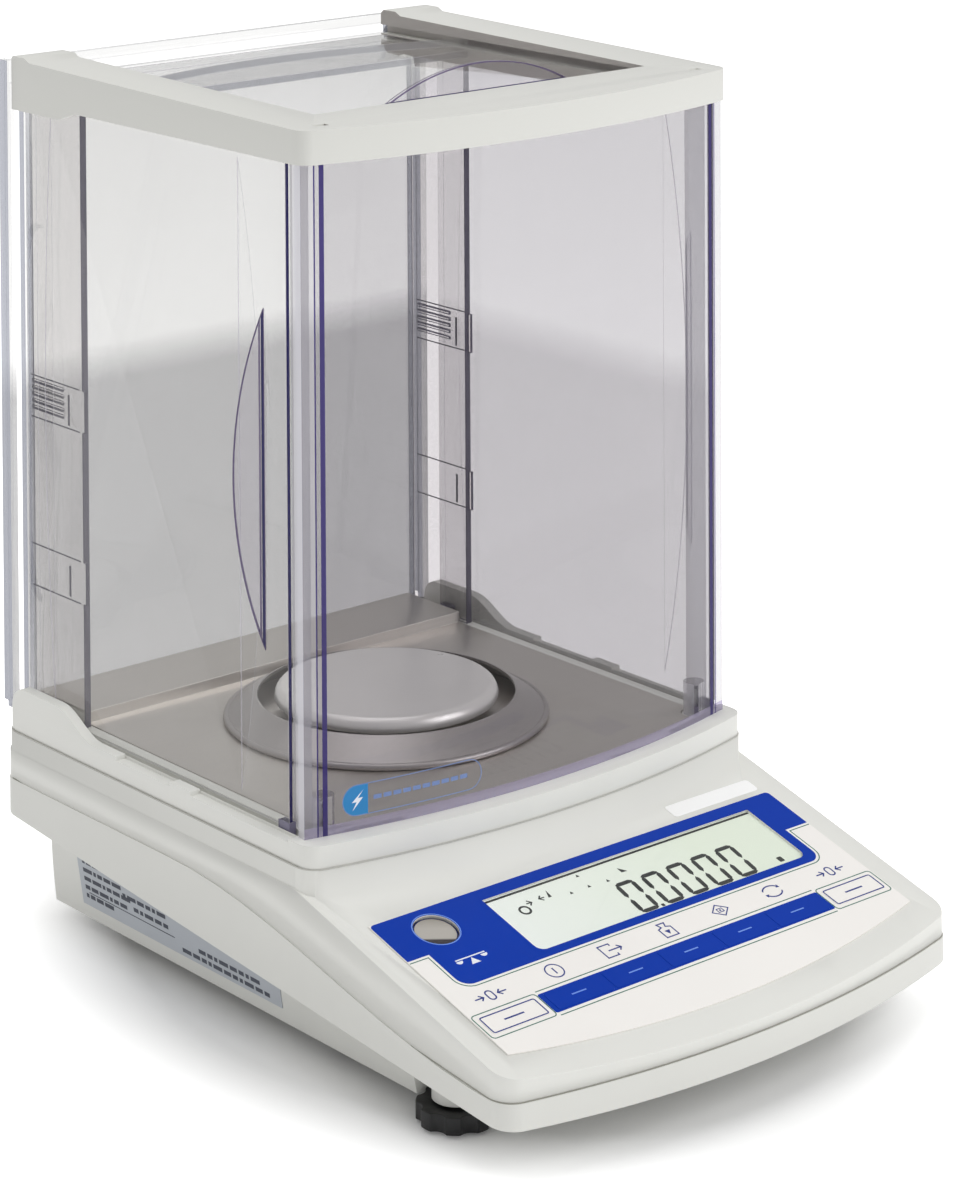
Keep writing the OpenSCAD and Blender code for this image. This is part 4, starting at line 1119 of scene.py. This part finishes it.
def bowed_outline(half, front, rear, r):
    """Outline of a case level: bowed front, rounded corners; starts and ends at the rear."""
    arc_y = front + BOW_R
    corner_x = half - r
    corner_y = arc_y - math.sqrt((BOW_R - r) ** 2 - corner_x**2)
    lean = math.degrees(math.asin(corner_x / (BOW_R - r)))
    return (
        arc(-corner_x, rear - r, r, 90, 180, 8)
        + arc(-corner_x, corner_y, r, 180, 270 - lean, 10)
        + arc(0, arc_y, BOW_R, 270 - lean, 270 + lean, 40)[1:-1]
        + arc(corner_x, corner_y, r, 270 + lean, 360, 10)
        + arc(corner_x, rear - r, r, 0, 90, 8)
    )


def seam_level(y):
    """Height of the joint between the upper and the lower case at depth y."""
    rise_end, rise_start = 40, -135
    if y > rise_end:
        return SEAM_REAR_Z
    if y < rise_start:
        return SEAM_NOSE_Z
    turn = math.pi * (rise_end - y) / (rise_end - rise_start)
    return SEAM_NOSE_Z + (SEAM_REAR_Z - SEAM_NOSE_Z) * (1 + math.cos(turn)) / 2


def add_seam(name, half, front, rear, r, level, height, look):
    """Line of a joint between two mouldings, as a thin band round the front and the sides."""
    depth = 0.3

    def on_joint(x, y, up):
        return Vector((x, y, level(y) + up)) * MM

    outer = bowed_outline(half, front, rear, r)
    inner = bowed_outline(half - depth, front + depth, rear - depth, r - depth)
    bm = bmesh.new()
    add_band(bm, outer, inner, on_joint, 0, height, False)
    new_piece(name, bm, LOOKS[look], "base")


def dress_seams():
    """Joints that run round the case: upper to lower case, and deck to upper case."""

    def deck_level(_):
        return DECK_JOINT_Z

    front, rear = NOSE_Y + 0.32, REAR_Y - 0.4
    add_seam("case_seam", HALF_W - 0.22, front, rear, CORNER_R, seam_level, 0.45, "seam_shadow")
    front, rear = DECK_FRONT_Y - 0.08, REAR_Y - 0.6
    add_seam("deck_seam", HALF_W - 0.9, front, rear, DECK_CORNER_R, deck_level, 0.35, "seam_soft")


def dress_sticker():
    """Blank pill sticker above the panel's film."""
    pill = [[rounded(68.0, -5.95, 40.0, 6.5, 1.4)]]
    print_on_panel("sticker", pill, INKS["paper"], -0.38, -0.28)


def dress_label():
    """Rows of plain bars on the rating label."""
    low, high = box_mm("rating_label")
    lean = 5.5 / 34.5
    label_t = 0.25

    def on_label(y, z, out):
        # The label leans outward towards its top
        return Vector((high.x - label_t - lean * (z - low.z) - out, y, z)) * MM

    shapes = []
    left_rows = ((26.4, 108, 74), (23.2, 108, 88), (20.0, 108, 80), (16.8, 108, 84), (13.6, 108, 92))
    for k, (z, start, end) in enumerate(left_rows):
        shapes += bar_row(z, start, end, 1.6, 1.3, 7 * k, 5, 0.9)
    right_rows = ((21.0, 84, 62), (17.6, 78, 58), (14.8, 40, 6), (12.0, 50, 2))
    for k, (z, start, end) in enumerate(right_rows):
        shapes += bar_row(z, start, end, 1.8, 1.1, 5 * k, 3, 1.0)
    shapes.append([rectangle(106, 15.6, 54, 15.9)])
    print_on("label_bars", shapes, on_label, INKS["grey"], "base", 0.02, 0.06)


def bar_row(z, start, end, shortest, growth, first, skip, gap):
    """Row of bars at height z, from depth start to end, whose lengths take four values in turn."""
    bar_h = 1.5
    bars = []
    y = start
    while y > end:
        width = shortest + growth * ((first + skip * len(bars)) % 4)
        bars.append([rectangle(y, z, y - width, z + bar_h)])
        y -= width + gap
    return bars


# ---------- Stage ----------


def stage_floor():
    """White floor: plain paper that glows away from an ellipse round the foot of the balance, so that
    the ellipse holds a painted shadow.
    """
    half_w, half_d, far = 0.13, 0.18, 4.0
    bpy.ops.mesh.primitive_plane_add(size=60)
    floor = bpy.context.object
    floor.name = "stage_floor"
    g = Graph("stage_floor")
    shade = g.ramp(g.noise(0.6), (0.3, srgb(244, 244, 244)), (0.7, srgb(247, 247, 247)))
    squeezed = g.add("Mapping", Vector=g.place(), Scale=(1 / half_w, 1 / half_d, 0))
    away = g.add("VectorMath", {"operation": "LENGTH"}, Vector=squeezed.outputs[0]).outputs["Value"]
    # No glow round the foot of the balance: a painted shadow that deepens the contact shade
    glow = g.ramp(g.maths("DIVIDE", away, far), (0.2, 0.0), (0.3, 0.75))
    # The balance itself gets only a part of the glow
    lit_share = 0.29
    seen = g.add("LightPath").outputs["Is Camera Ray"]
    share = g.maths("ADD", g.maths("MULTIPLY", seen, 1 - lit_share), lit_share)
    glow = g.maths("MULTIPLY", glow, share)
    shader = g.add(
        "BsdfPrincipled",
        Base_Color=shade,
        Roughness=0.9,
        Specular_IOR_Level=0.05,
        Emission_Color=(1, 1, 1, 1),
        Emission_Strength=glow,
    )
    floor.data.materials.append(g.finish(shader.outputs[0]))


def area_light(name, location, target, size, power, colour=(1, 1, 1)):
    light = bpy.data.lights.new(name, "AREA")
    light.shape = "RECTANGLE"
    light.size, light.size_y = size
    light.energy = power
    light.color = colour
    holder = bpy.data.objects.new(name, light)
    holder.location = location
    holder.rotation_euler = (Vector(target) - Vector(location)).to_track_quat("-Z", "Y").to_euler()
    bpy.context.scene.collection.objects.link(holder)


def world_light():
    """White backdrop for the camera and softer light for the rest."""
    strengths = (1.0, 0.545)
    world = bpy.data.worlds.new("studio")
    bpy.context.scene.world = world
    world.use_nodes = True
    tree = world.node_tree
    tree.nodes.clear()
    path = tree.nodes.new("ShaderNodeLightPath")
    seen = tree.nodes.new("ShaderNodeBackground")
    light = tree.nodes.new("ShaderNodeBackground")
    for background, strength in zip((seen, light), strengths):
        background.inputs["Color"].default_value = (1, 1, 1, 1)
        background.inputs["Strength"].default_value = strength
    blend = tree.nodes.new("ShaderNodeMixShader")
    out = tree.nodes.new("ShaderNodeOutputWorld")
    tree.links.new(path.outputs["Is Camera Ray"], blend.inputs["Fac"])
    tree.links.new(light.outputs[0], blend.inputs[1])
    tree.links.new(seen.outputs[0], blend.inputs[2])
    tree.links.new(blend.outputs[0], out.inputs["Surface"])


def camera():
    """Camera at the photographer's place; its vertical shift lets go when it is moved elsewhere."""
    shift_y = -0.8238
    moved_away = 0.02
    yaw, pitch, roll = (math.radians(v) for v in (-40.37, 1.79, -0.29))
    eye = Vector((-0.77596, -0.92567, 0.50719))
    back = Vector((math.sin(yaw) * math.cos(pitch), -math.cos(yaw) * math.cos(pitch), math.sin(pitch)))
    right = (-back).cross(Vector((0, 0, 1))).normalized()
    up = right.cross(-back)
    leaned_right = math.cos(roll) * right + math.sin(roll) * up
    leaned_up = math.cos(roll) * up - math.sin(roll) * right
    data = bpy.data.cameras.new("camera")
    data.lens = 105.67
    data.sensor_width = 36.0
    obj = bpy.data.objects.new("camera", data)
    bpy.context.scene.collection.objects.link(obj)
    turn = Matrix((leaned_right, leaned_up, back)).transposed()
    obj.matrix_world = Matrix.Translation(eye) @ turn.to_4x4()
    bpy.context.scene.camera = obj

    marker = bpy.data.objects.new("camera_place", None)
    marker.location = eye
    bpy.context.scene.collection.objects.link(marker)
    curve = data.driver_add("shift_y")
    curve.driver.type = "SUM"
    variable = curve.driver.variables.new()
    variable.type = "LOC_DIFF"
    variable.targets[0].id = obj
    variable.targets[1].id = marker
    while curve.modifiers:
        curve.modifiers.remove(curve.modifiers[0])
    curve.keyframe_points.add(2)
    for point, (moved, shift) in zip(curve.keyframe_points, ((0.0, shift_y), (moved_away, 0.0))):
        point.co = (moved, shift)
        point.interpolation = "LINEAR"
    curve.extrapolation = "CONSTANT"


def render_look():
    """Plain colour transform, and enough bounces to see through every clear sheet."""
    scene = bpy.context.scene
    scene.view_settings.view_transform = "Standard"
    scene.cycles.transparent_max_bounces = 32
    scene.cycles.max_bounces = 8


# ---------- Build ----------

dress_cad()
dress_panel()
dress_keys()
dress_display()
dress_glass_mark()
dress_sticker()
dress_label()
dress_pan()
dress_level()
dress_clips()
dress_seams()
stage_floor()
world_light()
area_light("key_light", (0.9, -1.5, 1.2), (0, 0, 0.1), (1.2, 1.2), 14)
area_light("top_light", (-0.2, 0.2, 1.9), (0, 0, 0.1), (1.6, 1.6), 10.5)
camera()
render_look()
